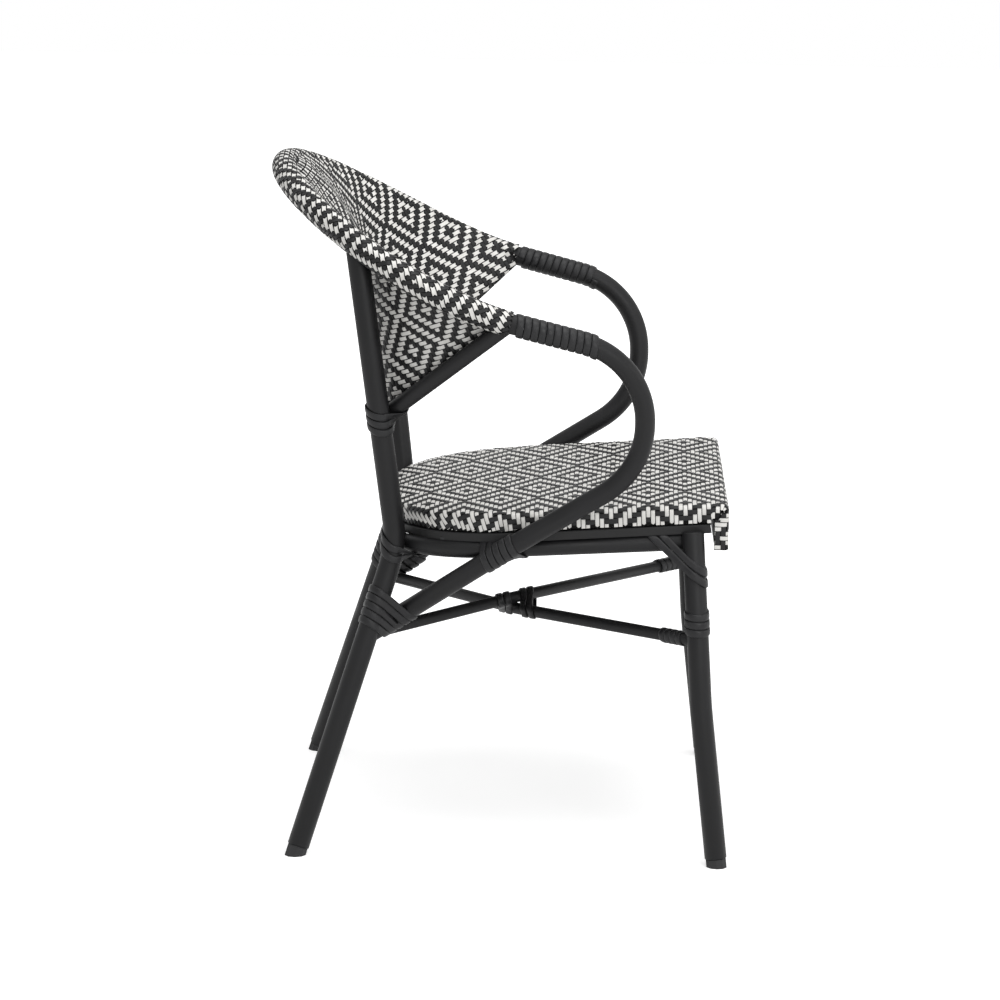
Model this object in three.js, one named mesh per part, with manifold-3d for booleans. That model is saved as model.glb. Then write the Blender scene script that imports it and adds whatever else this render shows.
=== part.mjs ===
// Bistro armchair: welded black tube frame, woven seat and back, joints lashed with flat binder strip.
// Millimetres, +Z up. The chair faces -Y, and +X is the sitter's left. The origin is on the floor,
// under the middle of the chair's outline.
import * as THREE from "three";
import { mergeVertices } from "three/addons/utils/BufferGeometryUtils.js";
import Module from "manifold-3d";

const wasm = await Module();
wasm.setup();

// Driving dimensions. "out" is the distance from the middle plane, "back" is +Y, "up" is the height.
const joint_gap = 0.3;
const cut_overrun = 40;

// Tubes
const leg_diameter = 27.5;
const leg_wall = 1.8;
const arm_diameter = 25;
const arm_wall = 1.6;
const back_rail_diameter = 20.5;
const back_rail_wall = 1.5;
const seat_rail_diameter = 22;
const seat_rail_wall = 1.5;
const stretcher_diameter = 15;
const stretcher_wall = 1.5;

// Rear leg and upright: one tube that splays out below the seat and leans out and back above it
const rear_foot = { out: 256, back: 240.3, up: 0 };
const rear_knee = { out: 160, back: 122.1, up: 378.6 };
const rear_knee_radius = 110;
const upright_top_out = 239;

// Front leg: one tube with a slight forward bow
const front_foot = { out: 271, back: -286.5, up: 0 };
const front_knee = { out: 248.5, back: -262.5, up: 200 };
const front_top = { out: 224, back: -247.2 };
const front_leg_overrun = 25.5;
const front_bend_radius = 600;

// Top rail: straight wings, then half an ellipse round the back, rising all the way
const wing_out = 277;
const wing_start_back = -34;
const wing_straight_back = 68;
const top_rail_back = 275.5;
const wing_start_height = 677.6;
const wing_slope_share = 0.275;
const rise_start_back = -22;
const top_rail_rise = 155;
const rise_power = 1.3;

// Arm: a long run from the top rail, one round front bend, and a run down past the seat rail, which
// curves in under the seat to the rear leg
const arm_front = -184.5;
const arm_front_out = 271;
const arm_upper_corner_height = 640;
const arm_lower_corner_height = 497.7;
const arm_lower_corner_out = 252;
const arm_bend_radius = 105;
const arm_side = { out: 243.6, back: -16, up: 392.9 };
const arm_hip = { out: 155.7, back: 122.3, up: 283.1 };
const arm_side_radius = 250;
const arm_hip_radius = 45;
const arm_foot_height = 269;

// Lower back rail: from each arm joint down and in, then across between the uprights
const back_rail_start = { out: 279, back: -18, up: 683 };
const back_rail_corner = { out: 169, back: 147.6, up: 537 };
const back_rail_bend_radius = 52;

// Seat rail: a bent U in one plane, which leans back a little with the whole seat
const seat_lean = 3.9;
const seat_pivot_back = -82;
const seat_pivot_height = 391.3;
const seat_rail_front_out = 216;
const seat_rail_rear_out = 203;
const seat_rail_back = 134.4;
const seat_rail_bend_radius = 145;

// Stretchers: two crossed tubes, one over the other
const stretcher_upper_heights = { front: 278, rear: 269 };
const stretcher_lower_heights = { front: 281, rear: 263 };
const stretcher_cross_back = -28;
const stretcher_cross_height = 270;
const stretcher_bend_radius = 300;

// Seat panel, in the leaning frame of the seat rail
const seat_half_width = 216.5;
const seat_straight_back = -72;
const seat_rear_back = 136;
const seat_front_back = -273;
const seat_rear_power = 2.5;
const seat_standoff = 3.2;
const base_ring_height = 7.5;
const base_ring_width = 24;
const base_ring_lip = 2;
const weave_thickness = 3;
const seat_weave_height = 28;
const seat_edge_radius = 11;
const seat_crown = 2.5;
const crown_inset_shares = [3, 7];
const hoop_thickness = 4;
const rebate_depth = 8.2;
const front_rebate_half_length = 68;
const rear_rebate_half_length = 36;
const side_rebate = { out: 203, front: -35, rear: 6, depth: 6 };

// Apron at the front of the seat
const apron_half_width = 223;
const apron_thickness = 20;
const apron_low_height = 393;

// Woven back
const rim_weave_thickness = 3.2;
const rim_weave_end_back = -19;
const back_weave_tip_back = 26;
const back_weave_bottom_tip_share = 0.17;
const back_weave_bulge = 40;
const bulge_power_share = 0.65;
const sheet_offset = joint_gap + weave_thickness / 2;

// Binder strip
const binder_width = 8.2;
const binder_thickness = 1.8;
const binder_pitch = 9.4;
const forearm_turns = 11;
const forearm_start = -9.8;
const arm_leg_turns = 5;
const arm_leg_start = 8;
const arm_leg_slack = 1.1;
const arm_rail_turns = 5;
const arm_rail_back = -9;
const front_leg_turns = 2;
const front_leg_start = 14.5;
const front_leg_wrap_clear = 64.8;
const leg_wrap_slope_share = 0.2;
const joint_turns = 3;
const stretcher_front_turns = 4;
const stretcher_middle_turns = 2;
const stretcher_middle_clear = 5.8;
const upright_rail_turns = 2;
const upright_rail_slack = 3.5;
const stretcher_wrap_clear = 23.5;
const arm_slack = 0.4;
const cross_slack = 0.6;
const bent_rail_slack = 3;
const notch_half_length = 40;
const lashing_stack = 8.5;

// Feet and small fittings
const glide_radius = 13.2;
const glide_height = 10;
const glide_plug_length = 22;
const glide_plug_clearance = 0.5;
const spigot_half_length = 16;
const spigot_clearance = 1.2;
const spacer_radius = 8;
const spacer_front_back = -180;
const spacer_rear_back = 60;

// Mesh fineness
const tube_sides = 10;
const bore_sides = 8;
const small_tube_sides = 8;
const envelope_sides = 16;
const bend_step_degrees = 10;
const top_rail_steps = 24;
const wing_steps = 3;
const apron_edge_steps = 5;
const winding_steps = 10;
const steep_share = 0.5;
const straight_share = 1e-6;
const halvings = 24;
const meeting_samples = 400;
const notch_samples = 90;

const materials = {
  frame: { color: 0x2b2c2e, roughness: 0.48, metalness: 0.1 },
  binder: { color: 0x262729, roughness: 0.42, metalness: 0 },
  weave: { color: 0x8f8d89, roughness: 0.55, metalness: 0 },
  glide: { color: 0x17181a, roughness: 0.7, metalness: 0 },
  steel: { color: 0x9a9ca0, roughness: 0.35, metalness: 1 },
};

const up = new THREE.Vector3(0, 0, 1);
const down = up.clone().negate();
const rearwards = new THREE.Vector3(0, 1, 0);
const forwards = rearwards.clone().negate();
const chair = new THREE.Group();

function addMesh(parent, name, geometry, look) {
  const mesh = new THREE.Mesh(geometry, new THREE.MeshStandardMaterial(materials[look]));
  mesh.name = name;
  parent.add(mesh);
  return mesh;
}

function point(side, { out, back, up }) {
  return new THREE.Vector3(side * out, back, up);
}

// Solids

function toSolid(geometry) {
  const bare = geometry.clone();
  bare.deleteAttribute("normal");
  bare.deleteAttribute("uv");
  const merged = mergeVertices(bare);
  const vertProperties = merged.attributes.position.array;
  const triVerts = new Uint32Array(merged.index.array);
  return new wasm.Manifold(new wasm.Mesh({ numProp: 3, vertProperties, triVerts }));
}

function toGeometry(solid) {
  const mesh = solid.getMesh();
  const geometry = new THREE.BufferGeometry();
  const positions = new Float32Array(mesh.vertProperties);
  geometry.setAttribute("position", new THREE.BufferAttribute(positions, 3));
  geometry.setIndex(new THREE.BufferAttribute(new Uint32Array(mesh.triVerts), 1));
  return geometry;
}

function cut(geometry, cutters) {
  let solid = toSolid(geometry);
  for (const cutter of cutters) {
    solid = solid.subtract(toSolid(cutter));
  }
  return toGeometry(solid);
}

// A solid's largest piece: what stays of a tube when its end is cut to fit round another tube
function largestPiece(geometry) {
  const pieces = toSolid(geometry).decompose();
  pieces.sort((a, b) => b.volume() - a.volume());
  return toGeometry(pieces[0]);
}

// Centrelines

// A centreline given by its stations, so that a straight run needs only its two ends
class StationPath extends THREE.Curve {
  constructor(stations) {
    super();
    this.stations = stations;
  }
  getPoint(share, target = new THREE.Vector3()) {
    const last = this.stations.length - 1;
    const place = share * last;
    const index = Math.min(Math.floor(place + 1e-9), last - 1);
    return target.lerpVectors(this.stations[index], this.stations[index + 1], place - index);
  }
  getPointAt(share, target) {
    return this.getPoint(share, target);
  }
  getSpacedPoints(count) {
    return this.getPoints(count);
  }
  getTangentAt(share, target = new THREE.Vector3()) {
    const last = this.stations.length - 1;
    const index = Math.round(share * last);
    const before = this.stations[Math.max(index - 1, 0)];
    const here = this.stations[index];
    const after = this.stations[Math.min(index + 1, last)];
    const inward = here.clone().sub(before).normalize();
    const outward = after.clone().sub(here).normalize();
    return target.addVectors(inward, outward).normalize();
  }
}

// Straight runs joined by arcs: radii holds one bend radius for each inner corner
function bentPath(corners, radii) {
  const stations = [corners[0]];
  for (let i = 1; i < corners.length - 1; i += 1) {
    const inward = corners[i].clone().sub(corners[i - 1]).normalize();
    const outward = corners[i + 1].clone().sub(corners[i]).normalize();
    const turn = inward.angleTo(outward);
    const setback = radii[i - 1] * Math.tan(turn / 2);
    const start = corners[i].clone().addScaledVector(inward, -setback);
    const side = outward.clone().addScaledVector(inward, -outward.dot(inward)).normalize();
    const centre = start.clone().addScaledVector(side, radii[i - 1]);
    const steps = Math.max(2, Math.round(THREE.MathUtils.radToDeg(turn) / bend_step_degrees));
    for (let k = 0; k <= steps; k += 1) {
      const angle = (turn * k) / steps;
      const station = centre.clone().addScaledVector(side, -radii[i - 1] * Math.cos(angle));
      station.addScaledVector(inward, radii[i - 1] * Math.sin(angle));
      stations.push(station);
    }
  }
  stations.push(corners[corners.length - 1]);
  return new StationPath(stations);
}

// The place on a station path at a given height or depth, on its first run that holds it
function whereOnPath(path, axis, value) {
  const { stations } = path;
  for (let i = 0; i + 1 < stations.length; i += 1) {
    const from = stations[i][axis];
    const to = stations[i + 1][axis];
    if ((from - value) * (to - value) <= 0 && from !== to) {
      return stations[i].clone().lerp(stations[i + 1], (value - from) / (to - from));
    }
  }
  return stations[stations.length - 1].clone();
}

function directionAt(path, axis, value) {
  const { stations } = path;
  for (let i = 0; i + 1 < stations.length; i += 1) {
    const from = stations[i][axis];
    const to = stations[i + 1][axis];
    if ((from - value) * (to - value) <= 0 && from !== to) {
      return stations[i + 1].clone().sub(stations[i]).normalize();
    }
  }
  return path.getTangentAt(1);
}

// The place at a share of a station path's length
function alongPath(path, share) {
  const { stations } = path;
  const lengths = [0];
  for (let i = 1; i < stations.length; i += 1) {
    lengths.push(lengths[i - 1] + stations[i].distanceTo(stations[i - 1]));
  }
  const wanted = share * lengths[lengths.length - 1];
  let index = 0;
  while (index < stations.length - 2 && lengths[index + 1] < wanted) {
    index += 1;
  }
  const run = lengths[index + 1] - lengths[index];
  return stations[index].clone().lerp(stations[index + 1], (wanted - lengths[index]) / run);
}

// Tubes

function circlePoints(radius, sides) {
  const points = [];
  for (let i = 0; i < sides; i += 1) {
    const angle = (2 * Math.PI * i) / sides;
    points.push(new THREE.Vector2(radius * Math.cos(angle), radius * Math.sin(angle)));
  }
  return points;
}

function sweep(path, radius, sides, boreRadius = 0) {
  const section = new THREE.Shape(circlePoints(radius, sides));
  if (boreRadius > 0) {
    section.holes.push(new THREE.Path(circlePoints(boreRadius, bore_sides)));
  }
  return new THREE.ExtrudeGeometry(section, { steps: path.stations.length - 1, extrudePath: path });
}

// What another tube is cut back from: the tube, solid, and the joint gap round it
function envelope(path, diameter) {
  const radius = (diameter / 2 + joint_gap) / Math.cos(Math.PI / envelope_sides);
  return sweep(path, radius, envelope_sides);
}

function tube(path, diameter, wall, sides = tube_sides) {
  return sweep(path, diameter / 2, sides, diameter / 2 - wall);
}

// Windings of flat binder strip. A turn follows the outline round one or two tubes, in planes square
// to a winding axis, and climbs that axis at a steady rate.

let least_binder_gap = Infinity;

// Where the run of a path that lies nearest to a place crosses a plane, and which way it runs there
function crossing(path, place, axis) {
  let nearest = null;
  for (let i = 0; i + 1 < path.stations.length; i += 1) {
    const run = new THREE.Line3(path.stations[i], path.stations[i + 1]);
    const foot = run.closestPointToPoint(place, true, new THREE.Vector3());
    const distance = foot.distanceTo(place);
    const steep = Math.abs(run.delta(new THREE.Vector3()).normalize().dot(axis)) > steep_share;
    if (steep && (!nearest || distance < nearest.distance)) {
      nearest = { run, distance };
    }
  }
  const direction = nearest.run.delta(new THREE.Vector3()).normalize();
  const start = nearest.run.start.clone();
  const reach = place.clone().sub(start).dot(axis) / direction.dot(axis);
  return { centre: start.addScaledVector(direction, reach), direction };
}

// Where a taut turn with a given outward direction touches a tube, how far out that is, and the
// tube's own outward direction there
function touchOn({ path, diameter }, { place, axis, outward }) {
  const { centre, direction } = crossing(path, place, axis);
  const along = direction.dot(axis);
  const lean = direction.clone().addScaledVector(axis, -along);
  const leaning = lean.length() > straight_share;
  const stretch = leaning ? 1 / Math.abs(along) : 1;
  const long = leaning ? lean.normalize() : outward.clone();
  const short = axis.clone().cross(long);
  const reach = Math.hypot(stretch * outward.dot(long), outward.dot(short));
  const touch = centre.clone();
  touch.addScaledVector(long, (diameter * stretch * stretch * outward.dot(long)) / (2 * reach));
  touch.addScaledVector(short, (diameter * outward.dot(short)) / (2 * reach));
  const radial = touch.clone().sub(centre);
  radial.addScaledVector(direction, -radial.dot(direction)).normalize();
  return { touch, radial, support: touch.clone().sub(place).dot(outward) };
}

function outermost(tubes, view) {
  const supports = tubes.map((one) => touchOn(one, view).support);
  return supports.indexOf(Math.max(...supports));
}

// Stations of a winding: even steps of turn, and both ends of each straight run between two tubes
function windingPlaces({ tubes, origin, axis, turns, start }, lift) {
  const across = new THREE.Vector3(1, 0, 0).addScaledVector(axis, -axis.x).normalize();
  const aside = axis.clone().cross(across);
  const viewAt = (step) => {
    const angle = (2 * Math.PI * step) / winding_steps;
    const outward = across.clone().multiplyScalar(Math.cos(angle));
    outward.addScaledVector(aside, Math.sin(angle));
    const station = start + (binder_pitch * step) / winding_steps;
    return { place: origin.clone().addScaledVector(axis, station), axis, outward };
  };
  const places = [];
  const add = (step, index) => {
    const { touch, radial } = touchOn(tubes[index], viewAt(step));
    places.push({ place: touch.addScaledVector(radial, lift), radial });
  };
  let before = outermost(tubes, viewAt(0));
  add(0, before);
  for (let i = 1; i <= turns * winding_steps; i += 1) {
    const now = outermost(tubes, viewAt(i));
    if (now !== before) {
      let [near, far] = [i - 1, i];
      for (let halving = 0; halving < halvings; halving += 1) {
        const middle = (near + far) / 2;
        [near, far] = outermost(tubes, viewAt(middle)) === before ? [middle, far] : [near, middle];
      }
      add(near, before);
      add(far, now);
    }
    add(i, now);
    before = now;
  }
  return places;
}

function winding(form) {
  const half_step = Math.PI / winding_steps;
  const widest = Math.max(...form.tubes.map(({ diameter }) => diameter));
  const sag = (form.tubes.length * widest * (1 / Math.cos(half_step) - 1)) / 2;
  const half_width = binder_width / 2;
  const half_thickness = binder_thickness / 2;
  const slack = form.slack ?? 0;
  const places = windingPlaces(form, joint_gap + sag + slack + half_thickness);
  const corners = places.map(({ place, radial }, i) => {
    const before = places[Math.max(i - 1, 0)].place;
    const after = places[Math.min(i + 1, places.length - 1)].place;
    const tangent = after.clone().sub(before).normalize();
    const wide = tangent.clone().cross(radial).normalize();
    const thick = tangent.clone().cross(wide).normalize();
    const inner = place.clone().addScaledVector(thick, half_thickness);
    const outer = place.clone().addScaledVector(thick, -half_thickness);
    return [
      inner.clone().addScaledVector(wide, -half_width),
      inner.clone().addScaledVector(wide, half_width),
      outer.clone().addScaledVector(wide, half_width),
      outer.clone().addScaledVector(wide, -half_width),
    ];
  });
  for (let i = 0; i < corners.length; i += 1) {
    for (let k = i + winding_steps - 1; k < corners.length; k += 1) {
      for (const a of corners[i]) {
        least_binder_gap = Math.min(least_binder_gap, ...corners[k].map((b) => a.distanceTo(b)));
      }
    }
  }
  return closedStrip(corners);
}

// A closed body from rings of equal corner count, with a flat end at each side
function closedStrip(rings) {
  const size = rings[0].length;
  const positions = rings.flat().flatMap(({ x, y, z }) => [x, y, z]);
  const index = [];
  for (let i = 0; i + 1 < rings.length; i += 1) {
    for (let k = 0; k < size; k += 1) {
      const a = i * size + k;
      const b = i * size + ((k + 1) % size);
      index.push(a, b, b + size, a, b + size, a + size);
    }
  }
  for (let k = 1; k + 1 < size; k += 1) {
    const last = (rings.length - 1) * size;
    index.push(0, k + 1, k, last, last + k, last + k + 1);
  }
  return facingOut(positions, index);
}

function facingOut(positions, index) {
  let volume = 0;
  const corner = (i) => new THREE.Vector3().fromArray(positions, 3 * i);
  for (let i = 0; i < index.length; i += 3) {
    const [a, b, c] = [corner(index[i]), corner(index[i + 1]), corner(index[i + 2])];
    volume += a.dot(b.cross(c));
  }
  if (volume < 0) {
    for (let i = 0; i < index.length; i += 3) {
      [index[i + 1], index[i + 2]] = [index[i + 2], index[i + 1]];
    }
  }
  const geometry = new THREE.BufferGeometry();
  geometry.setAttribute("position", new THREE.Float32BufferAttribute(positions, 3));
  geometry.setIndex(index);
  return geometry;
}

// Centrelines of the frame

function rearLegPath(side) {
  const foot = point(side, rear_foot);
  const knee = point(side, rear_knee);
  const top = topRailPlace(side, upright_top_out);
  const start = alongLine(foot, knee, glide_height);
  return bentPath([start, knee, top], [rear_knee_radius]);
}

function alongLine(from, to, height) {
  return from.clone().lerp(to, (height - from.z) / (to.z - from.z));
}

// The rail runs straight on from the arm, then curves upwards
function topRailHeight(back) {
  const run = Math.min(back, rise_start_back) - wing_start_back;
  const share = Math.max(back - rise_start_back, 0) / (top_rail_back - rise_start_back);
  return wing_start_height + wing_slope_share * run + top_rail_rise * Math.pow(share, rise_power);
}

function topRailPoint(turn) {
  const reach = top_rail_back - wing_straight_back;
  const back = wing_straight_back + reach * Math.cos(turn);
  return new THREE.Vector3(wing_out * Math.sin(turn), back, topRailHeight(back));
}

// The top rail's centreline place where it lies a given distance out, round the back
function topRailPlace(side, out) {
  return topRailPoint(side * Math.asin(out / wing_out));
}

function topRailPath(endBack) {
  const stations = [];
  for (let i = 0; i < wing_steps; i += 1) {
    const back = endBack + ((wing_straight_back - endBack) * i) / wing_steps;
    stations.push(new THREE.Vector3(-wing_out, back, topRailHeight(back)));
  }
  for (let i = 0; i <= top_rail_steps; i += 1) {
    stations.push(topRailPoint(-Math.PI / 2 + (Math.PI * i) / top_rail_steps));
  }
  for (let i = wing_steps - 1; i >= 0; i -= 1) {
    const mirrored = stations[i].clone();
    mirrored.x = wing_out;
    stations.push(mirrored);
  }
  return new StationPath(stations);
}

function frontLegPath(side) {
  const foot = point(side, front_foot);
  const knee = point(side, front_knee);
  const start = alongLine(foot, knee, glide_height);
  const top = inSeatFrame(side * front_top.out, front_top.back, 0);
  return bentPath([start, knee, top.addScaledVector(up, front_leg_overrun)], [front_bend_radius]);
}

function armPath(side, rearLeg) {
  const rear = new THREE.Vector3(side * wing_out, wing_start_back, wing_start_height);
  const upper = new THREE.Vector3(side * arm_front_out, arm_front, arm_upper_corner_height);
  const lower = new THREE.Vector3(side * arm_lower_corner_out, arm_front, arm_lower_corner_height);
  const foot = whereOnPath(rearLeg, "z", arm_foot_height);
  const corners = [rear, upper, lower, point(side, arm_side), point(side, arm_hip), foot];
  return bentPath(corners, [arm_bend_radius, arm_bend_radius, arm_side_radius, arm_hip_radius]);
}

function backRailPath() {
  const corners = [
    point(-1, back_rail_start),
    point(-1, back_rail_corner),
    point(1, back_rail_corner),
    point(1, back_rail_start),
  ];
  return bentPath(corners, [back_rail_bend_radius, back_rail_bend_radius]);
}

// From the leaning frame of the seat rail to the chair's frame
const seat_frame = new THREE.Matrix4().makeRotationX(THREE.MathUtils.degToRad(-seat_lean));
seat_frame.setPosition(0, seat_pivot_back, seat_pivot_height);

function inSeatFrame(x, back, up) {
  return new THREE.Vector3(x, back - seat_pivot_back, up).applyMatrix4(seat_frame);
}

function seatRailPath() {
  const corners = [
    inSeatFrame(-seat_rail_front_out, front_top.back, 0),
    inSeatFrame(-seat_rail_rear_out, seat_rail_back, 0),
    inSeatFrame(seat_rail_rear_out, seat_rail_back, 0),
    inSeatFrame(seat_rail_front_out, front_top.back, 0),
  ];
  return bentPath(corners, [seat_rail_bend_radius, seat_rail_bend_radius]);
}

const rear_legs = { left: rearLegPath(1), right: rearLegPath(-1) };
const front_legs = { left: frontLegPath(1), right: frontLegPath(-1) };
const arms = { left: armPath(1, rear_legs.left), right: armPath(-1, rear_legs.right) };
const top_rail = topRailPath(wing_start_back);
const back_rail = backRailPath();
const seat_rail = seatRailPath();
const sides = { left: 1, right: -1 };

function straightPath(from, to) {
  return new StationPath([from, to]);
}

function frontRailPath() {
  const left = inSeatFrame(front_top.out, front_top.back, 0);
  const right = inSeatFrame(-front_top.out, front_top.back, 0);
  return straightPath(left, right);
}

const front_rail = frontRailPath();

// Stretchers: each runs from a front leg to the far rear leg, and they pass one over the other
const stretcher_lift = (stretcher_diameter + joint_gap) / 2;

function stretcherPath(front_leg, rear_leg, heights, lift) {
  const front = whereOnPath(front_leg, "z", heights.front);
  const rear = whereOnPath(rear_leg, "z", heights.rear);
  const middle = new THREE.Vector3(0, stretcher_cross_back, stretcher_cross_height + lift);
  return bentPath([front, middle, rear], [stretcher_bend_radius]);
}

const stretchers = {
  upper: stretcherPath(front_legs.left, rear_legs.right, stretcher_upper_heights, stretcher_lift),
  lower: stretcherPath(front_legs.right, rear_legs.left, stretcher_lower_heights, -stretcher_lift),
};

// The frame's tubes. Each end is cut to the tube that it is welded to.

const rim_diameter = arm_diameter + 2 * joint_gap + 2 * rim_weave_thickness;

// What the arm's end is cut back from: the space from just ahead of the top rail's end, rearwards
function railEndCutter(side) {
  const start = new THREE.Vector3(side * wing_out, wing_start_back, topRailHeight(wing_start_back));
  const behind = whereOnPath(top_rail, "y", wing_start_back + arm_diameter / 2);
  behind.x = side * wing_out;
  const rearward = behind.sub(start).normalize();
  const near = start.clone().addScaledVector(rearward, -joint_gap);
  const far = start.clone().addScaledVector(rearward, arm_diameter);
  return sweep(straightPath(near, far), arm_diameter, envelope_sides);
}

// Everything above the underside of the seat's base ring
function aboveSeatRail() {
  const size = 4 * seat_half_width;
  const block = new THREE.BoxGeometry(size, size, cut_overrun);
  block.translate(0, 0, base_ring_bottom - joint_gap + cut_overrun / 2);
  return block.applyMatrix4(seat_frame);
}

function addFrame() {
  const seat_cutter = aboveSeatRail();
  const rim_cutter = envelope(topRailPath(rim_weave_end_back), rim_diameter);
  const top_rail_cutter = envelope(top_rail, arm_diameter);
  for (const name of Object.keys(sides)) {
    const upright = cut(tube(rear_legs[name], leg_diameter, leg_wall), [rim_cutter]);
    addMesh(chair, `rear_leg_${name}`, largestPiece(upright), "frame");
    const front_leg = cut(tube(front_legs[name], leg_diameter, leg_wall), [seat_cutter]);
    addMesh(chair, `front_leg_${name}`, front_leg, "frame");
    const leg_cutter = envelope(rear_legs[name], leg_diameter);
    const end_cutter = railEndCutter(sides[name]);
    const arm = cut(tube(arms[name], arm_diameter, arm_wall), [leg_cutter, end_cutter]);
    addMesh(chair, `arm_${name}`, largestPiece(arm), "frame");
  }
  addMesh(chair, "top_rail", tube(top_rail, arm_diameter, arm_wall), "frame");

  const leg_cutters = Object.keys(sides).map((name) => envelope(rear_legs[name], leg_diameter));
  const front_cutters = Object.keys(sides).map((name) => envelope(front_legs[name], leg_diameter));
  const arm_cutters = Object.keys(sides).map((name) => envelope(arms[name], arm_diameter));
  const lower_rail = tube(back_rail, back_rail_diameter, back_rail_wall, small_tube_sides);
  const rail_cutters = [rim_cutter, top_rail_cutter, ...arm_cutters, ...leg_cutters];
  addMesh(chair, "lower_back_rail", largestPiece(cut(lower_rail, rail_cutters)), "frame");

  const rail = tube(seat_rail, seat_rail_diameter, seat_rail_wall, small_tube_sides);
  const front_rail_cutter = envelope(front_rail, seat_rail_diameter);
  const side_cutters = [...front_cutters, ...leg_cutters, ...arm_cutters, front_rail_cutter];
  addMesh(chair, "seat_rail", largestPiece(cut(rail, side_cutters)), "frame");
  const front = tube(front_rail, seat_rail_diameter, seat_rail_wall, small_tube_sides);
  addMesh(chair, "front_cross_rail", largestPiece(cut(front, front_cutters)), "frame");

  const lashed_diameter = arm_diameter + 2 * lashing_stack;
  const lashing_cutters = Object.values(arms).map((path) => envelope(path, lashed_diameter));
  const end_cutters = [...leg_cutters, ...front_cutters, ...lashing_cutters];
  for (const [name, path] of Object.entries(stretchers)) {
    const whole = tube(path, stretcher_diameter, stretcher_wall, small_tube_sides);
    addMesh(chair, `stretcher_${name}`, largestPiece(cut(whole, end_cutters)), "frame");
  }
}

// A solid spigot joins each arm to the top rail inside both tubes
function addSpigots() {
  const radius = arm_diameter / 2 - arm_wall - spigot_clearance;
  for (const [name, side] of Object.entries(sides)) {
    const middle = new THREE.Vector3(side * wing_out, wing_start_back, wing_start_height);
    const ahead = directionAt(arms[name], "y", wing_start_back - spigot_half_length);
    const front = middle.clone().addScaledVector(ahead, spigot_half_length);
    const behind = whereOnPath(top_rail, "y", wing_start_back + spigot_half_length);
    behind.x = side * wing_out;
    const path = straightPath(front, behind);
    addMesh(chair, `arm_spigot_${name}`, sweep(path, radius, small_tube_sides), "steel");
  }
}

// Feet: a plug in each leg with a pad below it, cut flat at the floor
function addGlides() {
  const floor_size = front_foot.out + cut_overrun;
  const floor_cutter = new THREE.BoxGeometry(2 * floor_size, 4 * floor_size, cut_overrun);
  floor_cutter.translate(0, 0, -cut_overrun / 2);
  const plug_radius = leg_diameter / 2 - leg_wall - glide_plug_clearance;
  const feet = { front: front_legs, rear: rear_legs };
  for (const [end, legs] of Object.entries(feet)) {
    for (const name of Object.keys(sides)) {
      const top = legs[name].stations[0];
      const down = top.clone().sub(legs[name].stations[1]).normalize();
      const reach = (top.z + glide_radius) / -down.z;
      const seat = top.clone().addScaledVector(down, joint_gap);
      const pad = straightPath(seat, top.clone().addScaledVector(down, reach));
      const plug_top = top.clone().addScaledVector(down, -glide_plug_length);
      const plug = straightPath(plug_top, seat.clone().addScaledVector(down, joint_gap));
      const body = toSolid(sweep(pad, glide_radius, tube_sides));
      const joined = body.add(toSolid(sweep(plug, plug_radius, bore_sides)));
      const foot = cut(toGeometry(joined), [floor_cutter]);
      addMesh(chair, `glide_${end}_${name}`, foot, "glide");
    }
  }
}

// The seat's outline: straight sides and a round rear, drawn in from the outer edge by an inset
function seatOutline(inset, points_per_corner = 9) {
  const width = seat_half_width - inset;
  const rear = seat_rear_back - inset;
  const front = seat_front_back + Math.abs(inset);
  const reach = rear - seat_straight_back;
  const right = [new THREE.Vector2(width, front)];
  for (let i = 0; i <= points_per_corner; i += 1) {
    const angle = ((Math.PI / 2) * i) / points_per_corner;
    const x = width * Math.pow(Math.cos(angle), 2 / seat_rear_power);
    const y = seat_straight_back + reach * Math.pow(Math.sin(angle), 2 / seat_rear_power);
    right.push(new THREE.Vector2(i === points_per_corner ? 0 : x, y));
  }
  const left = right.slice(0, -1).map(({ x, y }) => new THREE.Vector2(-x, y));
  return [...right, ...left.reverse()];
}

function seatPlate(outline, hole, bottom, height) {
  const toFrame = ({ x, y }) => new THREE.Vector2(x, y - seat_pivot_back);
  const shape = new THREE.Shape(outline.map(toFrame));
  shape.holes.push(new THREE.Path(hole.map(toFrame)));
  const geometry = new THREE.ExtrudeGeometry(shape, { depth: height, bevelEnabled: false });
  geometry.translate(0, 0, bottom);
  return geometry.applyMatrix4(seat_frame);
}

const base_ring_bottom = seat_rail_diameter / 2 + seat_standoff;
const weave_bottom = base_ring_bottom + base_ring_height + joint_gap;

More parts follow.
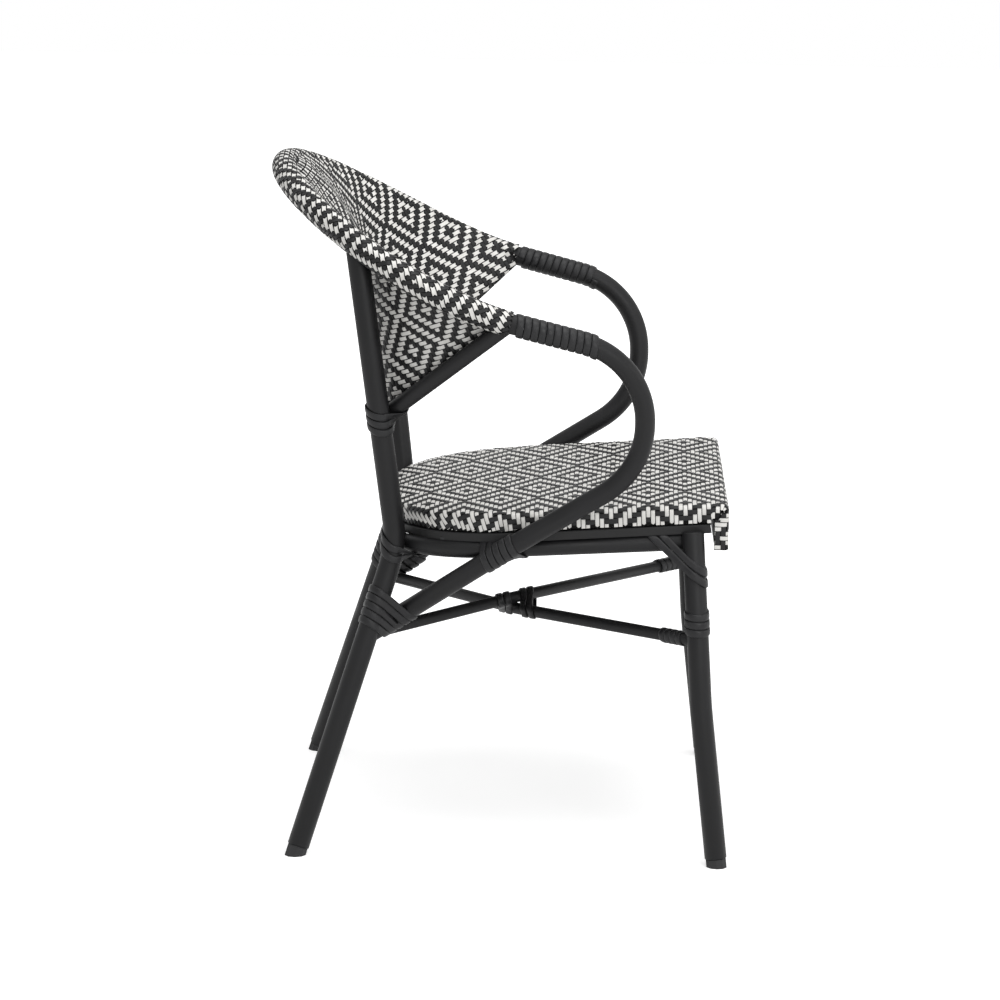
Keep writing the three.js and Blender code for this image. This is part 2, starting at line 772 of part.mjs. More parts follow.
// A tray of weave, open below: a crowned top, a rounded edge and a side wall
function seatWeave() {
  const top = weave_bottom + seat_weave_height;
  const rings = [];
  const addRing = (inset, up) => rings.push({ inset, up });
  const edge_steps = 3;
  addRing(weave_thickness, weave_bottom);
  addRing(0, weave_bottom);
  for (let i = 0; i <= edge_steps; i += 1) {
    const angle = ((Math.PI / 2) * i) / edge_steps;
    const inset = seat_edge_radius * (1 - Math.cos(angle));
    addRing(inset, top - seat_edge_radius * (1 - Math.sin(angle)));
  }
  const crown_insets = crown_inset_shares.map((share) => share * seat_edge_radius);
  for (const inset of crown_insets) {
    addRing(inset, top + seat_crown * Math.sqrt(inset / crown_insets[1]));
  }
  const outer_count = rings.length;
  for (const inset of [...crown_insets].reverse()) {
    const up = top + seat_crown * Math.sqrt(inset / crown_insets[1]) - weave_thickness;
    addRing(inset, up);
  }
  addRing(seat_edge_radius, top - weave_thickness);
  addRing(weave_thickness, top - seat_edge_radius);
  const positions = [];
  for (const { inset, up } of rings) {
    for (const { x, y } of seatOutline(inset)) {
      positions.push(...inSeatFrame(x, y, up).toArray());
    }
  }
  const size = positions.length / 3 / rings.length;
  const index = [];
  const capFan = (ring, flip) => {
    const at = (k) => ring * size + k;
    const rows = size - 1;
    for (let k = 0; k < rows / 2 - 1; k += 1) {
      const [a, b, c, d] = [at(k), at(k + 1), at(rows - k - 1), at(rows - k)];
      const quad = [a, b, c, a, c, d];
      index.push(...(flip ? quad.reverse() : quad));
    }
    const k = Math.floor(rows / 2);
    const tip = [at(k - 1), at(k), at(k + 1)];
    if (rows % 2 === 0) {
      index.push(...(flip ? tip.reverse() : tip));
    }
  };
  for (let ring = 0; ring < rings.length; ring += 1) {
    const next = (ring + 1) % rings.length;
    if (ring === outer_count - 1) {
      continue;
    }
    for (let k = 0; k < size; k += 1) {
      const after = (k + 1) % size;
      const [a, b] = [ring * size + k, ring * size + after];
      const [c, d] = [next * size + after, next * size + k];
      index.push(a, b, c, a, c, d);
    }
  }
  capFan(outer_count - 1, false);
  capFan(outer_count, true);
  return facingOut(positions, index);
}

// Room in the base ring's underside for a lashing round the seat rail
function ringRebate(joint, halfLength) {
  const stretch = stretchNear(seat_rail, joint, halfLength);
  return sweep(stretch, seat_rail_diameter / 2 + rebate_depth, envelope_sides);
}

// Room in the ring's outer edge for the lashing round an arm and the seat rail
function sideRebate(side) {
  const { out, front, rear, depth } = side_rebate;
  const block = new THREE.BoxGeometry(out, rear - front, 2 * depth);
  block.translate(side * (out + out / 2), (front + rear) / 2 - seat_pivot_back, base_ring_bottom);
  return block.applyMatrix4(seat_frame);
}

function addSeat() {
  const ring_outline = seatOutline(-base_ring_lip);
  const ring_hole = seatOutline(base_ring_width - base_ring_lip);
  const ring = seatPlate(ring_outline, ring_hole, base_ring_bottom, base_ring_height);
  const rebates = Object.entries(sides).flatMap(([name, side]) => [
    ringRebate(meeting(front_legs[name], seat_rail), front_rebate_half_length),
    ringRebate(meeting(rear_legs[name], seat_rail), rear_rebate_half_length),
    sideRebate(side),
  ]);
  addMesh(chair, "seat_base_ring", cut(ring, rebates), "frame");

  const hoop_inset = weave_thickness + joint_gap;
  const hoop_height = seat_weave_height - seat_edge_radius - joint_gap;
  const hoop_outline = seatOutline(hoop_inset);
  const hoop_hole = seatOutline(hoop_inset + hoop_thickness);
  const hoop = seatPlate(hoop_outline, hoop_hole, weave_bottom, hoop_height);
  addMesh(chair, "seat_hoop", hoop, "frame");
  addMesh(chair, "seat_weave", seatWeave(), "weave");
}

// The woven apron hangs in front of the legs, round a board: a cap that is open below
function addApron() {
  const top_up = inSeatFrame(0, seat_front_back, weave_bottom + seat_weave_height).z;
  const rear = inSeatFrame(0, seat_front_back, weave_bottom).y - joint_gap;
  const front = rear - apron_thickness;
  const section = new THREE.Shape();
  section.moveTo(front, apron_low_height);
  section.lineTo(rear, apron_low_height);
  section.absarc(rear, top_up - apron_thickness, apron_thickness, Math.PI / 2, Math.PI, false);
  const cap = new THREE.ExtrudeGeometry(section, {
    depth: 2 * apron_half_width,
    bevelEnabled: false,
    curveSegments: apron_edge_steps,
  });
  const turned = new THREE.Matrix4().set(0, 0, 1, 0, 1, 0, 0, 0, 0, 1, 0, 0, 0, 0, 0, 1);
  turned.setPosition(-apron_half_width, 0, 0);
  cap.applyMatrix4(turned);

  const pocket_width = 2 * (apron_half_width - weave_thickness);
  const pocket_depth = apron_thickness - 2 * weave_thickness;
  const pocket_top = top_up - apron_thickness / 2 - weave_thickness;
  const pocket_height = pocket_top - apron_low_height;
  const pocket_back = rear - apron_thickness / 2;
  const pocket = new THREE.BoxGeometry(pocket_width, pocket_depth, 2 * pocket_height);
  pocket.translate(0, pocket_back, apron_low_height);
  addMesh(chair, "apron_weave", cut(cap, [pocket]), "weave");

  const board_height = pocket_height - joint_gap - weave_thickness;
  const board_width = pocket_width - 2 * joint_gap;
  const board = new THREE.BoxGeometry(board_width, pocket_depth - 2 * joint_gap, board_height);
  board.translate(0, pocket_back, pocket_top - joint_gap - board_height / 2);
  addMesh(chair, "apron_board", board, "frame");
}

// How far out the seat rail lies at a place along the chair
function seatRailOut(back) {
  return Math.abs(whereOnPath(seat_rail, "y", back).x);
}

// Spacers hold the seat's base ring off the rail
function addSeatFixings() {
  const spots = { front: spacer_front_back, rear: spacer_rear_back };
  for (const [end, back] of Object.entries(spots)) {
    for (const [name, side] of Object.entries(sides)) {
      const x = side * (seatRailOut(back) - seat_rail_diameter / 4);
      const low = inSeatFrame(x, back, seat_rail_diameter / 4);
      const high = inSeatFrame(x, back, base_ring_bottom - joint_gap);
      const spacer = sweep(straightPath(low, high), spacer_radius, small_tube_sides);
      const fitted = cut(spacer, [envelope(seat_rail, seat_rail_diameter)]);
      addMesh(chair, `seat_spacer_${end}_${name}`, largestPiece(fitted), "glide");
    }
  }
}

// The woven back: a sleeve round the top rail, and a panel from it down to the lower back rail
function addBack() {
  const rim_path = topRailPath(rim_weave_end_back);
  const bore_radius = (arm_diameter / 2 + 2 * joint_gap) / Math.cos(Math.PI / bore_sides);
  const rim = sweep(rim_path, rim_diameter / 2, tube_sides, bore_radius);
  addMesh(chair, "back_rim_weave", rim, "weave");
  const notches = Object.keys(sides).map((name) => panelNotch(rear_legs[name]));
  addMesh(chair, "back_panel_weave", largestPiece(cut(backPanel(), notches)), "weave");
}

// Room in the panel's lower edge for the lashing round an upright and the lower back rail
function panelNotch(upright) {
  const stretch = stretchNear(back_rail, meeting(upright, back_rail), notch_half_length);
  const stack = bent_rail_slack + 3 * (binder_thickness + joint_gap);
  return sweep(stretch, back_rail_diameter / 2 + stack, envelope_sides);
}

// The part of a path that lies near a place
function stretchNear(path, middle, halfLength) {
  const shares = Array.from({ length: notch_samples }, (_, i) => i / notch_samples);
  const places = shares.map((share) => alongPath(path, share));
  return new StationPath(places.filter((place) => place.distanceTo(middle) < halfLength));
}

// The panel lies against the inner side of both rails, and is hollowed towards the sitter
function backPanel() {
  const columns = 28;
  const rows = 6;
  const half_rim = halfPath(topRailPath(back_weave_tip_back));
  const half_low = halfPath(back_rail);
  const surface = [];
  for (let c = 0; c <= columns; c += 1) {
    const place = (2 * c) / columns - 1;
    const share = 1 - Math.abs(place);
    const top = alongPath(half_rim, share);
    const low_share = back_weave_bottom_tip_share + (1 - back_weave_bottom_tip_share) * share;
    const bottom = alongPath(half_low, low_share);
    const down = bottom.clone().sub(top).normalize();
    top.addScaledVector(inwardNormal(half_rim, share, down), rim_diameter / 2 + sheet_offset);
    bottom.addScaledVector(inwardNormal(half_low, low_share, down), back_rail_diameter / 2 + sheet_offset);
    const column = [];
    for (let r = 0; r <= rows; r += 1) {
      const drop = r / rows;
      const here = top.clone().lerp(bottom, drop);
      const fullness = Math.sin(Math.PI * Math.pow(drop, bulge_power_share));
      here.y -= back_weave_bulge * fullness * Math.pow(share, 2);
      here.x *= place < 0 ? 1 : -1;
      column.push(here);
    }
    surface.push(column);
  }
  return thickSheet(surface, weave_thickness);
}

// Square to a right-hand rail and to the sheet's run down from it, towards the sitter
function inwardNormal(path, share, down) {
  const step = 1 / (path.stations.length * 4);
  const before = alongPath(path, Math.max(share - step, 0));
  const after = alongPath(path, Math.min(share + step, 1));
  const normal = after.sub(before).cross(down).normalize();
  return normal.x - normal.y < 0 ? normal.negate() : normal;
}

// The right half of a path that starts on the right and is mirrored about the middle plane
function halfPath(path) {
  const right = path.stations.filter(({ x }) => x < -joint_gap);
  const last = right[right.length - 1];
  const next = path.stations[right.length];
  const share = last.x / (last.x - next.x);
  return new StationPath([...right, last.clone().lerp(next, share)]);
}

// A closed sheet of even thickness about a grid of points
function thickSheet(surface, thickness) {
  const columns = surface.length;
  const rows = surface[0].length;
  const positions = [];
  const index = [];
  for (const face of [1, -1]) {
    for (let c = 0; c < columns; c += 1) {
      for (let r = 0; r < rows; r += 1) {
        const across = surface[Math.min(c + 1, columns - 1)][r].clone();
        across.sub(surface[Math.max(c - 1, 0)][r]);
        const down = surface[c][Math.min(r + 1, rows - 1)].clone();
        down.sub(surface[c][Math.max(r - 1, 0)]);
        const normal = across.cross(down).normalize();
        const place = surface[c][r].clone().addScaledVector(normal, (face * thickness) / 2);
        positions.push(...place.toArray());
      }
    }
  }
  const at = (face, c, r) => (face * columns + c) * rows + r;
  for (let c = 0; c + 1 < columns; c += 1) {
    for (let r = 0; r + 1 < rows; r += 1) {
      const front = [at(0, c, r), at(0, c, r + 1), at(0, c + 1, r + 1), at(0, c + 1, r)];
      const rear = [at(1, c, r), at(1, c + 1, r), at(1, c + 1, r + 1), at(1, c, r + 1)];
      for (const [i, j, k, l] of [front, rear]) {
        index.push(i, j, k, i, k, l);
      }
    }
  }
  const border = [];
  for (let c = 0; c < columns; c += 1) {
    border.push([c, 0]);
  }
  for (let r = 1; r < rows; r += 1) {
    border.push([columns - 1, r]);
  }
  for (let c = columns - 2; c >= 0; c -= 1) {
    border.push([c, rows - 1]);
  }
  for (let r = rows - 2; r > 0; r -= 1) {
    border.push([0, r]);
  }
  border.forEach(([c, r], i) => {
    const [d, s] = border[(i + 1) % border.length];
    index.push(at(0, c, r), at(0, d, s), at(1, d, s), at(0, c, r), at(1, d, s), at(1, c, r));
  });
  return facingOut(positions, index);
}

// The nearest place on one path to another path
function meeting(path, other) {
  let best = null;
  for (let i = 0; i <= meeting_samples; i += 1) {
    const place = alongPath(path, i / meeting_samples);
    for (let k = 0; k + 1 < other.stations.length; k += 1) {
      const run = new THREE.Line3(other.stations[k], other.stations[k + 1]);
      const foot = run.closestPointToPoint(place, true, new THREE.Vector3());
      const distance = foot.distanceTo(place);
      if (!best || distance < best.distance) {
        best = { distance, middle: place.clone().lerp(foot, 1 / 2) };
      }
    }
  }
  return best.middle;
}

// Halfway between the ways that two tubes run from their joint
function bisector(path, other, origin, towards, towards_other) {
  const along = crossingDirection(path, origin, towards);
  return along.add(crossingDirection(other, origin, towards_other)).normalize();
}

function crossingDirection(path, place, towards) {
  const { direction } = crossing(path, place, towards);
  return direction.dot(towards) < 0 ? direction.negate() : direction;
}

// The same piece on the other side of the middle plane
function mirrored(geometry) {
  const positions = Array.from(geometry.getAttribute("position").array);
  const flipped = positions.map((value, i) => (i % 3 === 0 ? -value : value));
  return facingOut(flipped, Array.from(geometry.index.array));
}

// The windings of one side's joints; the other side's are their mirror images
function addSideWindings() {
  const rear = { path: rear_legs.right, diameter: leg_diameter };
  const front = { path: front_legs.right, diameter: leg_diameter };
  const arm = { path: arms.right, diameter: arm_diameter };
  const low = { path: back_rail, diameter: back_rail_diameter };
  const seat = { path: seat_rail, diameter: seat_rail_diameter };
  const wrap = (what, form) => {
    const strip = winding(form);
    addMesh(chair, `${what}_right`, strip, "binder");
    addMesh(chair, `${what}_left`, mirrored(strip), "binder");
  };
  wrap("forearm_wrap", {
    tubes: [arm],
    origin: new THREE.Vector3(-wing_out, wing_start_back, wing_start_height),
    axis: directionAt(arm.path, "y", wing_start_back - arm_diameter),
    turns: forearm_turns,
    start: forearm_start,
    slack: arm_slack,
  });
  const arm_foot = whereOnPath(rear.path, "z", arm_foot_height);
  wrap("arm_leg_lashing", {
    tubes: [arm, rear],
    origin: arm_foot,
    axis: bisector(arm.path, rear.path, arm_foot, up, up),
    turns: arm_leg_turns,
    start: arm_leg_start,
    slack: arm_leg_slack,
  });
  const arm_crossing = whereOnPath(arm.path, "y", arm_rail_back);
  wrap("arm_rail_lashing", {
    tubes: [arm, seat],
    origin: arm_crossing,
    axis: bisector(arm.path, seat_rail, arm_crossing, forwards, forwards),
    turns: arm_rail_turns,
    start: (-arm_rail_turns * binder_pitch) / 2,
  });
  const corner = meeting(front.path, seat_rail);
  wrap("front_leg_lashing", {
    tubes: [front, seat],
    origin: corner,
    axis: bisector(front.path, seat_rail, corner, down, rearwards),
    turns: front_leg_turns,
    start: front_leg_start,
    slack: arm_slack,
  });
  const back_joint = meeting(rear.path, back_rail);
  wrap("back_rail_lashing", {
    tubes: [rear, low],
    origin: back_joint,
    axis: bisector(rear.path, back_rail, back_joint, up, forwards),
    turns: joint_turns,
    start: (-joint_turns * binder_pitch) / 2,
    slack: bent_rail_slack,
  });
  const seat_joint = meeting(rear.path, seat_rail);
  wrap("upright_rail_lashing", {
    tubes: [rear, seat],
    origin: seat_joint,
    axis: bisector(rear.path, seat_rail, seat_joint, up, forwards),
    turns: upright_rail_turns,
    start: (-upright_rail_turns * binder_pitch) / 2,
    slack: upright_rail_slack,
  });
  const wrap_slope = new THREE.Vector3(-1, -1, 0).setLength(leg_wrap_slope_share);
  const lashing_end = front_leg_start + front_leg_turns * binder_pitch;
  wrap("front_leg_wrap", {
    tubes: [front],
    origin: whereOnPath(front.path, "z", corner.z - lashing_end - front_leg_wrap_clear),
    axis: up.clone().add(wrap_slope).normalize(),
    turns: joint_turns,
    start: (-joint_turns * binder_pitch) / 2,
  });
}

function addStretcherWindings() {
  const pair = Object.values(stretchers).map((path) => ({ path, diameter: stretcher_diameter }));
  const wrapped = { left: pair[0], right: pair[1] };
  for (const [name, tube_form] of Object.entries(wrapped)) {
    const [start, next] = tube_form.path.stations;
    const strip = winding({
      tubes: [tube_form],
      origin: start,
      axis: next.clone().sub(start).normalize(),
      turns: stretcher_front_turns,
      start: stretcher_wrap_clear,
    });
    addMesh(chair, `stretcher_front_wrap_${name}`, strip, "binder");
  }
  for (const [end, axis] of Object.entries({ front: forwards, rear: rearwards })) {
    const cross = winding({
      tubes: pair,
      origin: new THREE.Vector3(0, stretcher_cross_back, stretcher_cross_height),
      axis,
      turns: stretcher_middle_turns,
      start: stretcher_middle_clear,
      slack: cross_slack,
    });
    addMesh(chair, `stretcher_cross_lashing_${end}`, cross, "binder");
  }
}

addFrame();
addSpigots();
addGlides();
addSeat();
addApron();
addSeatFixings();
addBack();
addSideWindings();
addStretcherWindings();
console.log(`least gap between binder turns: ${least_binder_gap.toFixed(2)} mm`);

// The frame's origin lies under the middle of the outline
chair.updateMatrixWorld(true);
const outline = new THREE.Box3().setFromObject(chair);
chair.position.y = -(outline.min.y + outline.max.y) / 2;

export default chair;
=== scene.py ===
import math

import bpy
import numpy as np
from mathutils import Matrix


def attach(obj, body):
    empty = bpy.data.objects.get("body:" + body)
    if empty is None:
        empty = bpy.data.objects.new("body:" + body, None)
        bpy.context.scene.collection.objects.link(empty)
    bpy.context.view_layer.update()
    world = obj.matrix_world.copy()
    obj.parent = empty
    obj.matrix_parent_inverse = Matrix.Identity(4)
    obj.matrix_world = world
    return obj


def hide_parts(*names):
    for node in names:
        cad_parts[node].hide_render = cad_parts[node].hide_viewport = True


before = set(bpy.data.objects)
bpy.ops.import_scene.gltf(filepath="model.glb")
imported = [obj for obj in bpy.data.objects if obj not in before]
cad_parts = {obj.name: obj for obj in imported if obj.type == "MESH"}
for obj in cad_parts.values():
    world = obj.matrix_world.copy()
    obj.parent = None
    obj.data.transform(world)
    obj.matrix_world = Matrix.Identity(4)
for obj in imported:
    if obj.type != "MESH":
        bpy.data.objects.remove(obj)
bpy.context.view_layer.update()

# Lengths are millimetres in the part source's own frame; part_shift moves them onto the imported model.
# "out" is the distance from the middle plane, "back" is +Y and "up" is the height. The floor, the
# lights and the camera are placed in metres.
part_shift = 3.866
joint_gap = 0.3

leg_diameter = 27.5
arm_diameter = 25.0
back_rail_diameter = 20.5
seat_rail_diameter = 22.0
stretcher_diameter = 15.0

rear_foot = (256, 240.3, 0)
rear_knee = (160, 122.1, 378.6)
rear_knee_radius = 110
upright_top_out = 239
upright_setback = 9
front_foot = (271, -286.5, 0)
front_knee = (248.5, -262.5, 200)
front_top = (224, -247.2)
front_leg_overrun = 25.5
front_bend_radius = 600
leg_start_up = 10

wing_out = 277
wing_start_back = -34
wing_straight_back = 68
top_rail_back = 275.5
wing_start_up = 677.6
wing_slope = 0.275
rise_start_back = -22
top_rail_rise = 155
rise_power = 1.3

arm_front = -184.5
arm_corners = [(271, arm_front, 640), (252, arm_front, 497.7), (243.6, -16, 392.9), (155.7, 122.3, 283.1)]
arm_radii = [105, 105, 250, 45]
arm_foot_up = 269

back_rail_start = (279, -18, 683)
back_rail_corner = (169, 147.6, 537)
back_rail_bend_radius = 52

seat_lean = math.radians(3.9)
seat_pivot_back = -82
seat_pivot_up = 391.3
seat_rail_front_out = 216
seat_rail_rear_out = 203
seat_rail_back = 134.4
seat_rail_bend_radius = 145

stretcher_upper_ups = (278, 269)
stretcher_lower_ups = (281, 263)
stretcher_cross_back = -28
stretcher_cross_up = 270
stretcher_bend_radius = 300

# The seat's width, height and edge, the back's tip and the binder's width and slack differ from the
# solids, to look more like the photo
seat_half_width = 221
seat_straight_back = -72
seat_rear_back = 136
seat_front_back = -273
seat_rear_power = 2.5
seat_standoff = 3.2
base_ring_height = 7.5
weave_bottom = seat_rail_diameter / 2 + seat_standoff + base_ring_height + joint_gap
seat_weave_height = 24
seat_edge_radius = 5
seat_crown = 2.5
crown_run = 66
apron_half_width = 223
apron_thickness = 20
apron_low_up = 393

rim_weave_thickness = 3.2
rim_weave_end_back = -19
back_weave_tip_back = -12
back_weave_bottom_tip_share = 0.02
back_weave_bulge = 40
bulge_power = 0.65

binder_width = 8.9
binder_thickness = 1.8
binder_pitch = 9.4
winding_steps = 44
forearm_turns = 11
forearm_start = -9.8
arm_leg_turns = 5
arm_leg_start = 8
arm_leg_slack = 0.3
arm_rail_turns = 5
arm_rail_back = -9
arm_slack = 0.1
front_leg_turns = 2
front_leg_start = 14.5
front_leg_slack = 0.2
front_leg_wrap_up = 304.4
leg_wrap_slope = 0.2
joint_turns = 3
upright_rail_turns = 2
bent_rail_slack = 0.8
stretcher_front_turns = 4
stretcher_wrap_clear = 23.5
stretcher_middle_turns = 2
stretcher_middle_clear = 5.8
cross_slack = 0.3

weave_height = 0.75
strip_dome = 0.35
normal_reach = 0.6
weave_jump = 3.2
gap_shade_step = 3.0
gap_shade_jump = 3
row_repeat = 16
column_repeat = 18
twill_repeat = 4
twill_over = 2


# Vectors and paths

def unit(v):
    return v / np.linalg.norm(v)


def unit_rows(rows):
    return rows / np.linalg.norm(rows, axis=1)[:, None]


def without(rows, directions):
    """Rows with the part that runs along their directions taken out."""
    return rows - directions * (rows * directions).sum(1)[:, None]


def side_point(side, place):
    return np.array([side * place[0], place[1], place[2]], float)


def bent_path(corners, radii, step_degrees=3.0):
    """Straight runs joined by arcs; radii holds one bend radius for each inner corner."""
    corners = [np.array(c, float) for c in corners]
    stations = [corners[0]]
    for i in range(1, len(corners) - 1):
        inward = unit(corners[i] - corners[i - 1])
        outward = unit(corners[i + 1] - corners[i])
        turn = math.acos(np.clip(inward @ outward, -1, 1))
        start = corners[i] - inward * radii[i - 1] * math.tan(turn / 2)
        aside = unit(outward - inward * (outward @ inward))
        centre = start + aside * radii[i - 1]
        steps = max(3, round(math.degrees(turn) / step_degrees))
        for k in range(steps + 1):
            angle = turn * k / steps
            stations.append(centre + radii[i - 1] * (inward * math.sin(angle) - aside * math.cos(angle)))
    stations.append(corners[-1])
    return np.array(stations)


def where_on(path, axis, value):
    """The place on a path's first run that holds this value of a coordinate, and its direction."""
    for a, b in zip(path[:-1], path[1:]):
        if (a[axis] - value) * (b[axis] - value) <= 0 and a[axis] != b[axis]:
            return a + (b - a) * (value - a[axis]) / (b[axis] - a[axis]), unit(b - a)
    return path[-1], unit(path[-1] - path[-2])


def lengths_of(path):
    return np.concatenate([[0], np.cumsum(np.linalg.norm(np.diff(path, axis=0), axis=1))])


def along(path, shares):
    lengths = lengths_of(path)
    wanted = np.atleast_1d(shares) * lengths[-1]
    return np.stack([np.interp(wanted, lengths, path[:, k]) for k in range(3)], axis=1)


def cut_path(path, keep):
    """The start of a path, up to where keep(place) stops being true."""
    for i in range(1, len(path)):
        if not keep(path[i]):
            near, far = path[i - 1], path[i]
            for _ in range(24):
                middle = (near + far) / 2
                near, far = (middle, far) if keep(middle) else (near, middle)
            return np.vstack([path[:i], near])
    return path


def nearest_joint(path, other):
    """The middle of the shortest line between two paths."""
    places = along(path, np.linspace(0, 1, 400))
    best = (1e9, None)
    for a, b in zip(other[:-1], other[1:]):
        run = b - a
        t = np.clip(((places - a) @ run) / (run @ run), 0, 1)
        feet = a + t[:, None] * run
        gaps = np.linalg.norm(places - feet, axis=1)
        k = int(gaps.argmin())
        if gaps[k] < best[0]:
            best = (gaps[k], (places[k] + feet[k]) / 2)
    return best[1]


# The frame's centrelines

def top_rail_up(back):
    back = np.asarray(back, float)
    run = np.minimum(back, rise_start_back) - wing_start_back
    share = np.maximum(back - rise_start_back, 0) / (top_rail_back - rise_start_back)
    return wing_start_up + wing_slope * run + top_rail_rise * share ** rise_power


def top_rail_point(turn):
    back = wing_straight_back + (top_rail_back - wing_straight_back) * math.cos(turn)
    return np.array([wing_out * math.sin(turn), back, float(top_rail_up(back))])


def top_rail_path(end_back, turns=96):
    wing = [(-wing_out, back, float(top_rail_up(back)))
            for back in np.linspace(end_back, wing_straight_back, 14)[:-1]]
    bend = [top_rail_point(-math.pi / 2 + math.pi * i / turns) for i in range(turns + 1)]
    other = [(-x, y, z) for x, y, z in reversed(wing)]
    return np.array(wing + [tuple(p) for p in bend] + other)


def seat_place(x, back, up):
    """From the leaning frame of the seat to the chair's frame; takes numbers or arrays."""
    y = np.asarray(back, float) - seat_pivot_back
    return np.stack(np.broadcast_arrays(
        np.asarray(x, float),
        seat_pivot_back + y * math.cos(seat_lean) + np.asarray(up) * math.sin(seat_lean),
        seat_pivot_up - y * math.sin(seat_lean) + np.asarray(up) * math.cos(seat_lean)), axis=-1)


def seat_up(place):
    """How far a place lies above the seat rail's plane."""
    y, z = place[1] - seat_pivot_back, place[2] - seat_pivot_up
    return y * math.sin(seat_lean) + z * math.cos(seat_lean)


def leg_path(side, foot, corner, top, radius):
    foot, corner = side_point(side, foot), side_point(side, corner)
    start = foot + (corner - foot) * (leg_start_up / corner[2])
    return bent_path([start, corner, top], [radius])


rear_legs, front_legs, arms = {}, {}, {}
for side_name, side in (("left", 1), ("right", -1)):
    upright_top = top_rail_point(side * math.asin(upright_top_out / wing_out))
    rear_legs[side_name] = leg_path(side, rear_foot, rear_knee, upright_top, rear_knee_radius)
    leg_top = seat_place(side * front_top[0], front_top[1], 0) + [0, 0, front_leg_overrun]
    front_legs[side_name] = leg_path(side, front_foot, front_knee, leg_top, front_bend_radius)
    arm_start = np.array([side * wing_out, wing_start_back, wing_start_up])
    arm_end = where_on(rear_legs[side_name], 2, arm_foot_up)[0]
    arms[side_name] = bent_path(
        [arm_start] + [side_point(side, c) for c in arm_corners] + [arm_end], arm_radii)

top_rail = top_rail_path(wing_start_back)
back_rail = bent_path(
    [side_point(-1, back_rail_start), side_point(-1, back_rail_corner),
     side_point(1, back_rail_corner), side_point(1, back_rail_start)],
    [back_rail_bend_radius] * 2)
seat_rail = bent_path(
    [seat_place(-seat_rail_front_out, front_top[1], 0), seat_place(-seat_rail_rear_out, seat_rail_back, 0),
     seat_place(seat_rail_rear_out, seat_rail_back, 0), seat_place(seat_rail_front_out, front_top[1], 0)],
    [seat_rail_bend_radius] * 2)
front_rail = np.array([seat_place(-front_top[0], front_top[1], 0), seat_place(front_top[0], front_top[1], 0)])
stretcher_lift = (stretcher_diameter + joint_gap) / 2


def stretcher_path(front_leg, rear_leg, ups, lift):
    middle = np.array([0, stretcher_cross_back, stretcher_cross_up + lift])
    ends = where_on(front_leg, 2, ups[0])[0], where_on(rear_leg, 2, ups[1])[0]
    return bent_path([ends[0], middle, ends[1]], [stretcher_bend_radius])


stretcher_upper = stretcher_path(front_legs["left"], rear_legs["right"], stretcher_upper_ups, stretcher_lift)
stretcher_lower = stretcher_path(front_legs["right"], rear_legs["left"], stretcher_lower_ups, -stretcher_lift)


# Materials

def new_material(name, colour, roughness, build=None, **sockets):
    material = bpy.data.materials.new(name)
    material.use_nodes = True
    tree = material.node_tree
    shader = tree.nodes["Principled BSDF"]
    shader.inputs["Base Color"].default_value = (*colour, 1)
    shader.inputs["Roughness"].default_value = roughness
    for socket, value in sockets.items():
        shader.inputs[socket.replace("_", " ")].default_value = value
    if build:
        build(tree, shader)
    return material


def noise(tree, scale, detail=3.0, stretch=None):
    """A noise texture in object coordinates, drawn out along one axis where stretch is given."""
    coords = tree.nodes.new("ShaderNodeTexCoord")
    texture = tree.nodes.new("ShaderNodeTexNoise")
    texture.inputs["Scale"].default_value = scale
    texture.inputs["Detail"].default_value = detail
    source = coords.outputs["Object"]
    if stretch:
        mapping = tree.nodes.new("ShaderNodeMapping")
        mapping.inputs["Scale"].default_value = stretch
        tree.links.new(source, mapping.inputs["Vector"])
        source = mapping.outputs["Vector"]
    tree.links.new(source, texture.inputs["Vector"])
    return texture.outputs["Fac"]


def ramp(tree, fac, low, high, start=0.3, end=0.7):
    """A colour ramp between two greys or colours."""
    node = tree.nodes.new("ShaderNodeValToRGB")
    for element, place, value in zip(node.color_ramp.elements, (start, end), (low, high)):
        element.position = place
        element.color = (*value, 1) if isinstance(value, tuple) else (value, value, value, 1)
    tree.links.new(fac, node.inputs["Fac"])
    return node.outputs["Color"]


def bump(tree, shader, height, distance, strength):
    node = tree.nodes.new("ShaderNodeBump")
    node.inputs["Distance"].default_value = distance
    node.inputs["Strength"].default_value = strength
    tree.links.new(height, node.inputs["Height"])
    tree.links.new(node.outputs["Normal"], shader.inputs["Normal"])


def surface(low, high, rough_low, rough_high, patch_scale, grain_scale, grain_depth, strength=0.5,
            stretch=None):
    """Colour that drifts in patches, roughness that varies, and a fine grain in the surface."""
    def build(tree, shader):
        patches = noise(tree, patch_scale, 4.0, stretch)
        tree.links.new(ramp(tree, patches, low, high), shader.inputs["Base Color"])
        tree.links.new(ramp(tree, patches, rough_low, rough_high), shader.inputs["Roughness"])
        bump(tree, shader, noise(tree, grain_scale, 5.0, stretch), grain_depth, strength)
    return build


